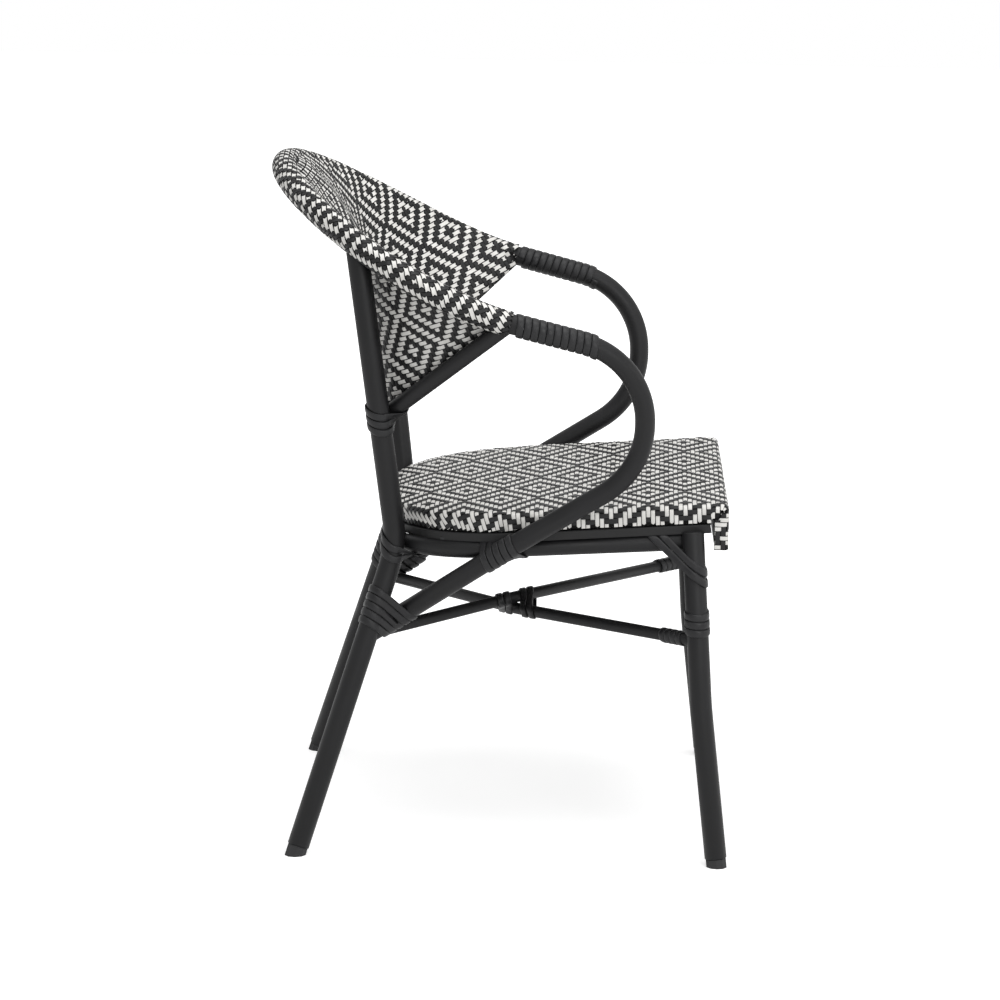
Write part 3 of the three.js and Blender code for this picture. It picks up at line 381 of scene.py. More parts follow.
black_paint = new_material(
    "satin_black_paint", (0.009, 0.009, 0.0095), 0.45,
    surface((0.007, 0.007, 0.0075), (0.011, 0.011, 0.0118), 0.4, 0.55, 22, 900, 0.00012, 0.35),
    Specular_IOR_Level=0.22)
binder_black = new_material(
    "black_binder_strip", (0.01, 0.01, 0.011), 0.42,
    surface((0.007, 0.007, 0.008), (0.015, 0.015, 0.016), 0.36, 0.55, 60, 700, 0.0002, 0.5),
    Specular_IOR_Level=0.28)
strip_white = new_material(
    "white_strip", (0.7, 0.69, 0.665), 0.45,
    surface((0.61, 0.6, 0.572), (0.74, 0.73, 0.705), 0.42, 0.58, 55, 1100, 0.00012, 0.5))
strip_black = new_material(
    "black_strip", (0.012, 0.012, 0.013), 0.4,
    surface((0.006, 0.006, 0.0065), (0.012, 0.012, 0.0125), 0.38, 0.55, 70, 1100, 0.00012, 0.5),
    Specular_IOR_Level=0.25)
# Near-black matte for the sheet inside the covers: painted shade in the gaps of the weave
gap_shade_sheet = new_material(
    "gap_shade_sheet", (0.006, 0.006, 0.006), 0.8,
    surface((0.004, 0.004, 0.004), (0.007, 0.007, 0.007), 0.7, 0.9, 90, 700, 0.0001, 0.4),
    Specular_IOR_Level=0.1)
board_black = new_material(
    "painted_board", (0.03, 0.03, 0.031), 0.55,
    surface((0.01, 0.01, 0.01), (0.018, 0.018, 0.0185), 0.5, 0.7, 30, 260, 0.0002, 0.5, (1, 6, 1)),
    Specular_IOR_Level=0.25)
glide_rubber = new_material(
    "glide_rubber", (0.012, 0.012, 0.013), 0.75,
    surface((0.009, 0.009, 0.01), (0.02, 0.02, 0.021), 0.65, 0.85, 80, 1400, 0.0002, 0.6))
bare_steel = new_material(
    "bare_steel", (0.5, 0.5, 0.52), 0.35,
    surface((0.42, 0.42, 0.44), (0.56, 0.56, 0.58), 0.28, 0.45, 60, 500, 0.0001, 0.4, (1, 8, 1)),
    Metallic=1.0)


# Meshes

def new_object(name, data):
    made = bpy.data.objects.new(name, data)
    bpy.context.scene.collection.objects.link(made)
    return made


def add_piece(name, points, faces, material, slot, replaces=(), smooth=True):
    """A mesh piece from points in millimetres in the part's frame; it rides on the chair's one body."""
    points = (np.asarray(points, float) + [0, part_shift, 0]) / 1000
    mesh = bpy.data.meshes.new(name)
    mesh.from_pydata(points.tolist(), [], faces)
    mesh.polygons.foreach_set("use_smooth", [smooth] * len(mesh.polygons))
    mesh.materials.append(material)
    mesh.update()
    piece = new_object(name, mesh)
    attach(piece, "root")
    if replaces:
        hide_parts(*replaces)


def grid_faces(rows, columns, start=0, wrap=False):
    """Quads of a grid of points laid row by row."""
    faces = []
    last = columns if wrap else columns - 1
    for r in range(rows - 1):
        for c in range(last):
            d = (c + 1) % columns
            a = start + r * columns
            b = a + columns
            faces.append((a + c, a + d, b + d, b + c))
    return faces


def carried_frames(path):
    """Two directions square to a path at each station, carried along it without twist."""
    tangents = np.gradient(path, axis=0)
    tangents[0], tangents[-1] = path[1] - path[0], path[-1] - path[-2]
    for i in range(1, len(path) - 1):
        tangents[i] = unit(path[i] - path[i - 1]) + unit(path[i + 1] - path[i])
    tangents = np.array([unit(t) for t in tangents])
    first = np.cross(tangents[0], [0, 0, 1] if abs(tangents[0][2]) < 0.9 else [1, 0, 0])
    sides = [unit(first)]
    for t in tangents[1:]:
        sides.append(unit(sides[-1] - t * (sides[-1] @ t)))
    sides = np.array(sides)
    return sides, np.cross(tangents, sides)


def tube_mesh(path, diameter, sides=36, edge=1.2):
    """A round tube with slightly rounded, closed ends."""
    path = np.asarray(path, float)
    across, aside = carried_frames(path)
    radii = np.full(len(path), diameter / 2)
    first, last = unit(path[1] - path[0]), unit(path[-1] - path[-2])
    path = np.vstack([path[0], path[0] + first * edge, path[1:-1], path[-1] - last * edge, path[-1]])
    across = np.vstack([across[0], across[0], across[1:-1], across[-1], across[-1]])
    aside = np.vstack([aside[0], aside[0], aside[1:-1], aside[-1], aside[-1]])
    radii = np.concatenate([[diameter / 2 - edge], radii, [diameter / 2 - edge]])
    angles = np.linspace(0, 2 * math.pi, sides, endpoint=False)
    ring = np.cos(angles)[None, :, None] * across[:, None] + np.sin(angles)[None, :, None] * aside[:, None]
    points = (path[:, None] + ring * radii[:, None, None]).reshape(-1, 3)
    faces = grid_faces(len(path), sides, wrap=True)
    faces.append(tuple(range(sides))[::-1])
    faces.append(tuple(range(len(points) - sides, len(points))))
    return points, faces


def add_tube(name, path, diameter, node, sides=36):
    points, faces = tube_mesh(path, diameter, sides)
    add_piece(name, points, faces, black_paint, "frame", [node])


rim_radius = arm_diameter / 2 + joint_gap + rim_weave_thickness
front_leg_top = seat_rail_diameter / 2 + seat_standoff - joint_gap
for side_name in ("left", "right"):
    upright = rear_legs[side_name]
    upright_end = upright[-1] - unit(upright[-1] - upright[-2]) * upright_setback
    add_tube(f"rear_leg_tube_{side_name}", np.vstack([upright[:-1], upright_end]), leg_diameter,
             f"rear_leg_{side_name}", 40)
    front_leg = cut_path(front_legs[side_name], lambda p: seat_up(p) < front_leg_top)
    add_tube(f"front_leg_tube_{side_name}", front_leg, leg_diameter, f"front_leg_{side_name}", 40)
    add_tube(f"arm_tube_{side_name}", arms[side_name], arm_diameter, f"arm_{side_name}", 40)
add_tube("top_rail_tube", top_rail, arm_diameter, "top_rail")
add_tube("lower_back_rail_tube", back_rail, back_rail_diameter, "lower_back_rail", 40)
add_tube("seat_rail_tube", seat_rail, seat_rail_diameter, "seat_rail", 40)
add_tube("front_cross_rail_tube", front_rail, seat_rail_diameter, "front_cross_rail")
add_tube("stretcher_upper_tube", stretcher_upper, stretcher_diameter, "stretcher_upper", 32)
add_tube("stretcher_lower_tube", stretcher_lower, stretcher_diameter, "stretcher_lower", 32)


# Windings of binder strip. A turn follows the outline round one or two tubes, in planes square to a
# winding axis, and climbs that axis at a steady rate.

def crossing(path, place, axis):
    """Where the run of a path nearest to a place crosses a plane, and which way it runs there."""
    starts, runs = path[:-1], np.diff(path, axis=0)
    squares = (runs ** 2).sum(1)
    t = np.clip(((place - starts) * runs).sum(1) / squares, 0, 1)
    gaps = np.linalg.norm(starts + runs * t[:, None] - place, axis=1)
    steep = np.abs(runs @ axis) / np.sqrt(squares) > 0.5
    k = int(np.where(steep, gaps, 1e9).argmin())
    direction = unit(runs[k])
    return starts[k] + direction * ((place - starts[k]) @ axis) / (direction @ axis), direction


def touch_on(tube, place, axis, outward):
    """Where a taut turn touches a tube in a given outward direction, and the outward normal there."""
    path, diameter = tube
    centre, direction = crossing(path, place, axis)
    slope = direction @ axis
    lean = direction - axis * slope
    leaning = np.linalg.norm(lean) > 1e-6
    stretch = 1 / abs(slope) if leaning else 1.0
    long = unit(lean) if leaning else outward
    short = np.cross(axis, long)
    a, b = outward @ long, outward @ short
    reach = math.hypot(stretch * a, b)
    touch = centre + long * diameter * stretch * stretch * a / (2 * reach)
    touch = touch + short * diameter * b / (2 * reach)
    radial = touch - centre
    radial = unit(radial - direction * (radial @ direction))
    return touch, radial, (touch - place) @ outward


binder_section_shares = [(-0.5, 0), (-0.5, 0.45), (-0.42, 0.8), (-0.22, 0.97), (0, 1),
                         (0.22, 0.97), (0.42, 0.8), (0.5, 0.45), (0.5, 0)]


def winding_mesh(tubes, origin, axis, turns, start, slack=0.0):
    axis = unit(axis)
    across = unit(np.array([1.0, 0, 0]) - axis * axis[0])
    aside = np.cross(axis, across)

    def at(step):
        angle = 2 * math.pi * step / winding_steps
        place = origin + axis * (start + binder_pitch * step / winding_steps)
        return place, axis, across * math.cos(angle) + aside * math.sin(angle)

    def outermost(step):
        supports = [touch_on(tube, *at(step))[2] for tube in tubes]
        return int(np.argmax(supports))

    places, radials = [], []

    def add(step, index):
        touch, radial, _ = touch_on(tubes[index], *at(step))
        places.append(touch + radial * (joint_gap + slack))
        radials.append(radial)

    before = outermost(0)
    add(0, before)
    for i in range(1, turns * winding_steps + 1):
        now = outermost(i)
        if now != before:
            near, far = i - 1, i
            for _ in range(20):
                middle = (near + far) / 2
                near, far = (middle, far) if outermost(middle) == before else (near, middle)
            add(near, before)
            # From here the strip runs straight to the other tube
            add(far, now)
        add(i, now)
        before = now
    places, radials = np.array(places), np.array(radials)
    tangents = unit_rows(np.gradient(places, axis=0))
    wides = unit_rows(np.cross(tangents, radials))
    thicks = np.cross(wides, tangents)
    thicks *= np.sign((thicks * radials).sum(1))[:, None]
    rings = np.stack([places + wides * (w * binder_width) + thicks * (t * binder_thickness)
                      for w, t in binder_section_shares], axis=1)
    points = rings.reshape(-1, 3)
    size = len(binder_section_shares)
    faces = grid_faces(len(places), size, wrap=True)
    faces.append(tuple(range(size))[::-1])
    faces.append(tuple(range(len(points) - size, len(points))))
    return points, faces


def add_winding(name, node, mesh):
    add_piece(name, *mesh, binder_black, "binder", [node])


def add_pair(what, mesh):
    """A winding on the right side, and its mirror image on the left."""
    points, faces = mesh
    add_winding(f"{what}_strip_right", f"{what}_right", mesh)
    mirrored = points * [-1, 1, 1]
    add_winding(f"{what}_strip_left", f"{what}_left", (mirrored, [f[::-1] for f in faces]))


def run_direction(path, place, towards):
    towards = np.array(towards, float)
    direction = crossing(path, place, towards)[1]
    return direction if direction @ towards > 0 else -direction


def joint_axis(place, *runs):
    """A winding axis between the directions of two paths where they meet."""
    return sum(run_direction(path, place, towards) for path, towards in runs)


UP, DOWN, REARWARDS, FORWARDS = (0, 0, 1), (0, 0, -1), (0, 1, 0), (0, -1, 0)
rear = (rear_legs["right"], leg_diameter)
front = (front_legs["right"], leg_diameter)
arm = (arms["right"], arm_diameter)
low = (back_rail, back_rail_diameter)
seat = (seat_rail, seat_rail_diameter)
half_run = binder_pitch / 2

add_pair("forearm_wrap", winding_mesh(
    [arm], np.array([-wing_out, wing_start_back, wing_start_up]),
    where_on(arm[0], 1, wing_start_back - arm_diameter)[1], forearm_turns, forearm_start, arm_slack))
arm_foot = where_on(rear[0], 2, arm_foot_up)[0]
add_pair("arm_leg_lashing", winding_mesh(
    [arm, rear], arm_foot, joint_axis(arm_foot, (arm[0], UP), (rear[0], UP)),
    arm_leg_turns, arm_leg_start, arm_leg_slack))
arm_crossing = where_on(arm[0], 1, arm_rail_back)[0]
add_pair("arm_rail_lashing", winding_mesh(
    [arm, seat], arm_crossing, joint_axis(arm_crossing, (arm[0], FORWARDS), (seat_rail, FORWARDS)),
    arm_rail_turns, -arm_rail_turns * half_run, arm_slack))
corner = nearest_joint(front[0], seat_rail)
add_pair("front_leg_lashing", winding_mesh(
    [front, seat], corner, joint_axis(corner, (front[0], DOWN), (seat_rail, REARWARDS)),
    front_leg_turns, front_leg_start, front_leg_slack))
back_joint = nearest_joint(rear[0], back_rail)
add_pair("back_rail_lashing", winding_mesh(
    [rear, low], back_joint, joint_axis(back_joint, (rear[0], UP), (back_rail, FORWARDS)),
    joint_turns, -joint_turns * half_run, bent_rail_slack))
seat_joint = nearest_joint(rear[0], seat_rail)
add_pair("upright_rail_lashing", winding_mesh(
    [rear, seat], seat_joint, joint_axis(seat_joint, (rear[0], UP), (seat_rail, FORWARDS)),
    upright_rail_turns, -upright_rail_turns * half_run, bent_rail_slack))
wrap_axis = np.array([-leg_wrap_slope / math.sqrt(2), -leg_wrap_slope / math.sqrt(2), 1])
add_pair("front_leg_wrap", winding_mesh(
    [front], where_on(front[0], 2, front_leg_wrap_up)[0], wrap_axis, joint_turns, -joint_turns * half_run))
for side_name, path in (("left", stretcher_upper), ("right", stretcher_lower)):
    add_winding(f"stretcher_front_strip_{side_name}", f"stretcher_front_wrap_{side_name}", winding_mesh(
        [(path, stretcher_diameter)], path[0], path[1] - path[0], stretcher_front_turns,
        stretcher_wrap_clear))
pair = [(stretcher_upper, stretcher_diameter), (stretcher_lower, stretcher_diameter)]
for end, axis in (("front", FORWARDS), ("rear", REARWARDS)):
    add_winding(f"stretcher_cross_strip_{end}", f"stretcher_cross_lashing_{end}", winding_mesh(
        pair, np.array([0, stretcher_cross_back, stretcher_cross_up], float),
        np.array(axis, float), stretcher_middle_turns, stretcher_middle_clear, cross_slack))


# Woven strips. A cover has a flat pattern plane and a function that lays its points on the chair.

def weave_meshes(place_of, strips, step, width, over):
    """Ribbons along lines of the pattern plane. strips is a list of (index, line of plane points,
    cells along it, direction across it); over(index, cell) says whether the strip is on top there."""
    lines = np.concatenate([line for _, line, _, _ in strips])
    asides = np.concatenate([np.tile(across * width / 2, (len(line), 1)) for _, line, _, across in strips])
    middle, normal, valid = with_normal(place_of, lines)
    left, left_valid = in_batches(place_of, lines - asides)
    right, right_valid = in_batches(place_of, lines + asides)
    index = np.concatenate([np.full(len(line), index) for index, line, _, _ in strips])
    cells = np.concatenate([cells for _, _, cells, _ in strips])
    at_edge = np.abs(cells - np.round(cells)) < 1e-6
    here = np.where(over(index, np.floor(cells + 1e-6)), 1.0, -1.0)
    ahead = np.where(over(index, np.round(cells)), 1.0, -1.0)
    behind = np.where(over(index, np.round(cells) - 1), 1.0, -1.0)
    heights = np.where(at_edge, (ahead + behind) / 2, here)[:, None] * weave_height
    rows = np.stack([left + normal * heights, middle + normal * (heights + strip_dome),
                     right + normal * heights], axis=1)
    shown = valid & left_valid & right_valid
    joined = shown[1:] & shown[:-1] & (index[1:] == index[:-1])
    joined &= np.linalg.norm(np.diff(middle, axis=0), axis=1) < weave_jump * step
    starts = np.flatnonzero(joined) * 3
    quads = [np.stack([starts + k, starts + k + 1, starts + k + 4, starts + k + 3], axis=1) for k in (0, 1)]
    return tidy_mesh(rows.reshape(-1, 3), np.concatenate(quads))


def tidy_mesh(points, faces):
    """Leaves out the points that no face uses."""
    used, renumbered = np.unique(faces, return_inverse=True)
    return points[used], renumbered.reshape(faces.shape).tolist()


def plane_strips(pitch, other_pitch, low, high, other_low, other_high, along_first, origin):
    """Lines of a pattern plane: strips a pitch apart, with a point at each half cell along them."""
    strips = []
    first = math.floor((low - origin[0]) / pitch)
    last = math.ceil((high - origin[0]) / pitch)
    start = math.floor((other_low - origin[1]) / other_pitch)
    end = math.ceil((other_high - origin[1]) / other_pitch)
    cells = np.arange(2 * start, 2 * end + 1) / 2
    for index in range(first, last + 1):
        fixed = np.full(len(cells), origin[0] + (index + 0.5) * pitch)
        moving = origin[1] + cells * other_pitch
        line = np.stack([moving, fixed] if along_first else [fixed, moving], axis=1)
        across = np.array([0.0, 1.0]) if along_first else np.array([1.0, 0.0])
        strips.append((index, line, cells, across))
    return strips


def in_batches(place_of, flat, size=12000):
    parts = [place_of(flat[k:k + size]) for k in range(0, len(flat), size)]
    return np.concatenate([p for p, _ in parts]), np.concatenate([v for _, v in parts])


def with_normal(place_of, flat):
    """Where plane points lie on the chair, the surface normal there, and whether they are on the cover."""
    place, valid = in_batches(place_of, flat)
    right, left = (in_batches(place_of, flat + [d, 0])[0] for d in (normal_reach, -normal_reach))
    ahead, behind = (in_batches(place_of, flat + [0, d])[0] for d in (normal_reach, -normal_reach))
    normal = np.cross(right - left, ahead - behind)
    size = np.linalg.norm(normal, axis=1)
    return place, normal / np.maximum(size, 1e-9)[:, None], valid & (size > 1e-6)


def add_weave(name, place_of, pitches, eye, extent, widths, over, replaces):
    """The pale rows and the black columns of one cover, as two pieces, laid out from one of the
    pattern's eyes. extent is half the plane's width, and its low and high end."""
    row, column = pitches
    half, low, high = extent
    across, up = eye[0] - column / 2, eye[1] - row / 2
    rows = plane_strips(row, column, low, high, -half, half, True, (up, across))
    pale = weave_meshes(place_of, rows, column, widths[0], over)
    add_piece(f"{name}_pale_strips", *pale, strip_white, "weave", replaces)
    columns = plane_strips(column, row, -half, half, low, high, False, (across, up))
    dark = weave_meshes(place_of, columns, row, widths[1], lambda j, i: ~over(i, j))
    add_piece(f"{name}_black_strips", *dark, strip_black, "weave")


# Seat cover: straight strips that bend over the edge and run down the side, and over the apron

seat_top = weave_bottom + seat_weave_height
inner_half_width = seat_half_width - seat_edge_radius
rear_reach = seat_rear_back - seat_edge_radius - seat_straight_back
seat_row = 5.77
seat_column = 7.17
seat_skew = -0.018
seat_eye = (52.9, -246.0)
seat_widths = (4.8, 6.1)
edge_arc = seat_edge_radius * math.pi / 2
side_run = seat_weave_height - seat_edge_radius
apron_rear = float(seat_place(0, seat_front_back, weave_bottom)[1]) - joint_gap
apron_top = float(seat_place(0, seat_front_back, seat_top)[2])
apron_start = float(seat_place(0, seat_front_back, seat_top)[1])
apron_bend = 8
apron_face = apron_thickness - apron_bend
apron_arc = apron_bend * math.pi / 2
apron_inner = apron_half_width - seat_edge_radius
flare_run = 40
low_margin = 0.5
least_bend = 0.3


def seat_outline(inset, front_back, count):
    """Half of a line inside the seat's outline, from the front to the middle of the back."""
    turns = np.linspace(0, math.pi / 2, count)
    x = (seat_half_width - inset) * np.cos(turns) ** (2 / seat_rear_power)
    reach = seat_rear_back - inset - seat_straight_back
    y = seat_straight_back + reach * np.sin(turns) ** (2 / seat_rear_power)
    return np.vstack([[seat_half_width - inset, front_back], np.stack([x, y], axis=1)])


seat_edge = seat_outline(seat_edge_radius, seat_front_back, 160)
seat_edge_runs = np.diff(seat_edge, axis=0)


def to_edge(flat):
    """Nearest places on the seat's edge line to plane points, for points with positive x."""
    gaps = np.full(len(flat), 1e9)
    feet = np.zeros((len(flat), 2))
    for start, run in zip(seat_edge[:-1], seat_edge_runs):
        t = np.clip(((flat - start) @ run) / (run @ run), 0, 1)
        foot = start + t[:, None] * run
        gap = np.linalg.norm(flat - foot, axis=1)
        closer = gap < gaps
        gaps[closer] = gap[closer]
        feet[closer] = foot[closer]
    return gaps, feet


def seat_cover(line):
    """Places plane points on the seat's top and side band, and over the apron's front and its ends. At
    the ends, the strips from the top and those from the face meet in a mitre."""
    sign = np.where(line[:, 0] < 0, -1.0, 1.0)
    out = np.abs(line[:, 0])
    back = line[:, 1] + seat_skew * (line[:, 0] - seat_eye[0])
    flat = np.stack([out, np.maximum(back, seat_front_back)], axis=1)
    gap, foot = to_edge(flat)
    rear_share = np.maximum(flat[:, 1] - seat_straight_back, 0) / rear_reach
    inside = (out / inner_half_width) ** seat_rear_power + rear_share ** seat_rear_power < 1
    inside |= (flat[:, 1] < seat_straight_back) & (out < inner_half_width)
    rise = np.clip(np.minimum(gap, flat[:, 1] - seat_front_back) / crown_run, 0, 1)
    crown = seat_crown * (1 - (1 - rise) ** 2)
    away = (flat - foot) / np.maximum(gap, 1e-9)[:, None]
    angle = np.minimum(gap / seat_edge_radius, math.pi / 2)
    outward = foot + away * (seat_edge_radius * np.sin(angle))[:, None]
    drop = seat_edge_radius * (1 - np.cos(angle)) + np.maximum(gap - edge_arc, 0)
    xy = np.where(inside[:, None], flat, outward)
    flare = np.clip((seat_front_back + flare_run - flat[:, 1]) / flare_run, 0, 1)
    flare = flare * flare * (3 - 2 * flare) * (apron_half_width - seat_half_width)
    x = xy[:, 0] + flare * np.clip(xy[:, 0] / inner_half_width, 0, 1) ** 4
    place = seat_place(x, xy[:, 1], np.where(inside, seat_top + crown, seat_top - drop))
    valid = inside | (gap < edge_arc + side_run - low_margin)

    ahead = seat_front_back - back
    bend = ahead - (apron_start - apron_rear) - apron_face
    turn = np.clip(bend / apron_bend, 0, math.pi / 2)
    past = np.maximum(out - apron_inner, 0)
    angle = np.minimum(past / seat_edge_radius, math.pi / 2)
    sink = seat_edge_radius * (1 - np.cos(angle)) + np.maximum(past - edge_arc, 0)
    apron_x = np.minimum(out, apron_inner) + seat_edge_radius * np.sin(angle)
    radius = apron_bend - sink
    apron_back = np.where(bend < 0, apron_start - ahead, apron_rear - apron_face - radius * np.sin(turn))
    apron_up = apron_top - apron_bend + radius * np.cos(turn) - np.maximum(bend - apron_arc, 0)
    at_face = bend > apron_arc
    on_apron = ahead > 0
    apron_place = np.stack([apron_x, apron_back, apron_up], axis=1)
    place = np.where(on_apron[:, None], apron_place, place)
    behind = apron_back - (apron_rear - apron_thickness)
    top_end = sink < np.maximum(behind, apron_bend)
    face_end = (sink < apron_thickness - low_margin) & (sink < apron_top - apron_up)
    face_end &= apron_up > apron_low_up
    covered = np.where(bend < 0, top_end, np.where(at_face, face_end, radius > least_bend))
    valid = np.where(on_apron, covered, valid)
    place[:, 0] *= sign
    return place, valid


def pale_over(i, j):
    """True where the pale strip of row i lies over the black strip of column j: a two over, two under
    twill, turned about every eight rows and nine columns into diamonds with a dark eye."""
    i = np.mod(i, row_repeat)
    j = np.mod(j, column_repeat)
    i = np.minimum(i, row_repeat - i)
    j = np.minimum(j, column_repeat - j)
    return np.mod(i + j, twill_repeat) >= twill_over


face_reach = 62
rear_reach_flat = 40
half_reach = 262
gap_shade_half_reach = 256
gap_shade_depth = 0.25
front_low = seat_front_back - apron_face - apron_arc - face_reach
rear_high = seat_rear_back + rear_reach_flat
add_weave("seat", seat_cover, (seat_row, seat_column), seat_eye, (half_reach, front_low, rear_high),
          seat_widths, pale_over, ["seat_weave", "apron_weave"])


def add_gap_shade_sheet(name, place_of, lows, highs, depth):
    """Painted shade: a dark sheet in the middle of a cover, which closes the gaps between the strips with
    shade.
    """
    xs = np.arange(lows[0], highs[0] + gap_shade_step, gap_shade_step)
    ys = np.arange(lows[1], highs[1] + gap_shade_step, gap_shade_step)
    gx, gy = np.meshgrid(xs, ys, indexing="ij")
    place, normal, valid = with_normal(place_of, np.stack([gx.ravel(), gy.ravel()], axis=1))
    place = place - normal * depth
    faces = np.array(grid_faces(len(xs), len(ys)))
    whole = valid[faces].all(axis=1)
    whole &= np.linalg.norm(place[faces[:, 0]] - place[faces[:, 2]], axis=1) < gap_shade_jump * gap_shade_step
    add_piece(name, *tidy_mesh(place, faces[whole]), gap_shade_sheet, "weave")


# A dark sheet just under the seat's strips: painted shade in the gaps between them
add_gap_shade_sheet("seat_gap_shade", seat_cover, (-gap_shade_half_reach, front_low), (gap_shade_half_reach, rear_high), gap_shade_depth)


# The painted ring between the seat rail and the cover. It reaches down to the rail, lower than the solid
# ring, so its lower part is painted shade that fills the shaded gap above the rail

def ring_line(inset):
    half = seat_outline(inset, seat_front_back + abs(inset), 120)
    return np.vstack([half, half[-2::-1] * [-1, 1]])


# Each corner of the ring's section: how far inside the seat's outline, and how far above the rail's axis
# The lower corners, down at 10.4 and 11.2, lie below the solid ring: painted shade in the gap between the
# ring and the rail
ring_section = [(22, 11.2), (-0.8, 10.4), (-1.8, 11.2), (-1.8, 20.6), (-1.2, 21.4), (22, 21.4)]
ring_rows = [ring_line(inset) for inset, _ in ring_section]
ring_points = np.concatenate([seat_place(row[:, 0], row[:, 1], up)
                              for row, (_, up) in zip(ring_rows, ring_section)])
ring_faces = grid_faces(len(ring_section), len(ring_rows[0]), wrap=True)
last_row = (len(ring_section) - 1) * len(ring_rows[0])
count = len(ring_rows[0])
ring_faces += [(k, last_row + k, last_row + (k + 1) % count, (k + 1) % count) for k in range(count)]
add_piece("seat_ring_painted", ring_points, ring_faces, board_black, "board", ["seat_base_ring"],
          smooth=False)


# Back cover: one sheet, flat when unrolled, from the lower rail up the inner side and round the roll

rim_path = top_rail_path(rim_weave_end_back)
middle_station = len(rim_path) // 2
half_rim_all = rim_path[:middle_station + 1]
half_rim = cut_path(half_rim_all[::-1], lambda p: p[1] > back_weave_tip_back)
half_low = back_rail[:len(back_rail) // 2]
half_low = np.vstack([half_low, [0, back_rail_corner[1], back_rail_corner[2]]])[::-1]
roll_inset = 0.9
low_cover_gap = 1.0
low_wrap_angle = 1.3
roll_radius = rim_radius - roll_inset
low_radius = back_rail_diameter / 2 + low_cover_gap
columns = 200
shares = np.linspace(0, 1, columns + 1)


def path_tangents(path, shares):
    step = 0.002
    ahead = along(path, np.clip(shares + step, 0, 1))
    behind = along(path, np.clip(shares - step, 0, 1))
    return unit_rows(ahead - behind)


rail_top = along(half_rim, shares)
rail_low = along(half_low, shares * (1 - back_weave_bottom_tip_share))
run_down = unit_rows(rail_low - rail_top)


def inward(tangents):
    normals = unit_rows(np.cross(tangents, run_down))
    flip = np.where(normals[:, 0] - normals[:, 1] < 0, -1.0, 1.0)
    return normals * flip[:, None]


top_tangents = path_tangents(half_rim, shares)
low_tangents = path_tangents(half_low, shares * (1 - back_weave_bottom_tip_share))
top_normals = inward(top_tangents)
low_normals = inward(low_tangents)
sheet_top = rail_top + top_normals * roll_radius
sheet_low = rail_low + low_normals * low_radius


def third_corner(a, b, to_a, to_b, reference):
    """The plane point at given distances from a and b, on the far side from a reference point."""
    base = b - a
    size = np.linalg.norm(base)
    x = (to_a ** 2 - to_b ** 2 + size ** 2) / (2 * size)
    y = math.sqrt(max(to_a ** 2 - x ** 2, 0))
    along_base = base / size
    aside = np.array([-along_base[1], along_base[0]])
    if reference is not None and (reference - a) @ aside > 0:
        aside = -aside
    elif reference is None and aside[0] < 0:
        aside = -aside
    return a + along_base * x + aside * y


def gap_between(p, q):
    return float(np.linalg.norm(p - q))


flat_top = [np.array([0.0, 0.0])]
flat_low = [np.array([0.0, -gap_between(sheet_top[0], sheet_low[0])])]
for k in range(columns):
    reference = None if k == 0 else flat_top[k - 1]
    top_next = third_corner(flat_top[k], flat_low[k], gap_between(sheet_top[k + 1], sheet_top[k]),
                            gap_between(sheet_top[k + 1], sheet_low[k]), reference)
    low_next = third_corner(top_next, flat_low[k], gap_between(sheet_low[k + 1], sheet_top[k + 1]),
                            gap_between(sheet_low[k + 1], sheet_low[k]), flat_top[k])
    flat_top.append(top_next)
    flat_low.append(low_next)
flat_top, flat_low = np.array(flat_top), np.array(flat_low)

# The roll's frames, carried on past the panel's tip to the roll's end
tip_run = along(half_rim_all[::-1], [1.0])[0] - rail_top[-1]
tip_steps = 24
tip_shares = np.linspace(0, 1, tip_steps + 1)[1:]
tip_length = float(np.linalg.norm(tip_run))
flat_ahead = unit(flat_top[-1] - flat_top[-4])
roll_flat = np.vstack([flat_top, flat_top[-1] + tip_shares[:, None] * flat_ahead * tip_length])
roll_centres = np.vstack([rail_top, rail_top[-1] + tip_shares[:, None] * tip_run])
roll_normals = np.vstack([top_normals, np.repeat(top_normals[-1:], tip_steps, axis=0)])
roll_tangents = np.vstack([top_tangents, np.repeat(top_tangents[-1:], tip_steps, axis=0)])
roll_downs = np.vstack([run_down, np.repeat(run_down[-1:], tip_steps, axis=0)])
roll_ups = unit_rows(without(-without(roll_downs, roll_tangents), roll_normals))
low_downs = unit_rows(without(without(run_down, low_tangents), low_normals))


ruling_blend = 60.0


def roll_rulings():
    """Directions across the roll in the pattern plane, evened out so that no two of them cross on it."""
    runs = unit_rows(np.gradient(roll_flat, axis=0))
    normals = np.stack([-runs[:, 1], runs[:, 0]], axis=1)
    lengths = lengths_of(roll_flat)
    all_normals = np.vstack([normals[:0:-1] * [-1, 1], normals])
    all_lengths = np.concatenate([-lengths[:0:-1], lengths])
    weights = np.exp(-((lengths[:, None] - all_lengths[None]) / ruling_blend) ** 2)
    even = unit_rows(weights @ (all_normals * np.gradient(all_lengths)[:, None]))
    return even, (even * normals).sum(1)


across_roll, across_share = roll_rulings()


def on_roll(flat):
    """Place along the roll's plane line, as an index with a fraction, and the run round the roll."""
    offset = flat[:, None, :] - roll_flat[None]
    beyond = across_roll[None, :, 1] * offset[..., 0] - across_roll[None, :, 0] * offset[..., 1]
    k = np.clip((beyond > 0).sum(1) - 1, 0, len(roll_flat) - 2)
    rows = np.arange(len(flat))
    near, far = beyond[rows, k], -beyond[rows, k + 1]
    place = k + np.clip(near / np.maximum(near + far, 1e-9), 0, 1)
    across = ((flat - pick(roll_flat, place)) * pick(across_roll, place)).sum(1)
    return place, across * pick(across_share[:, None], place)[:, 0], far > 0


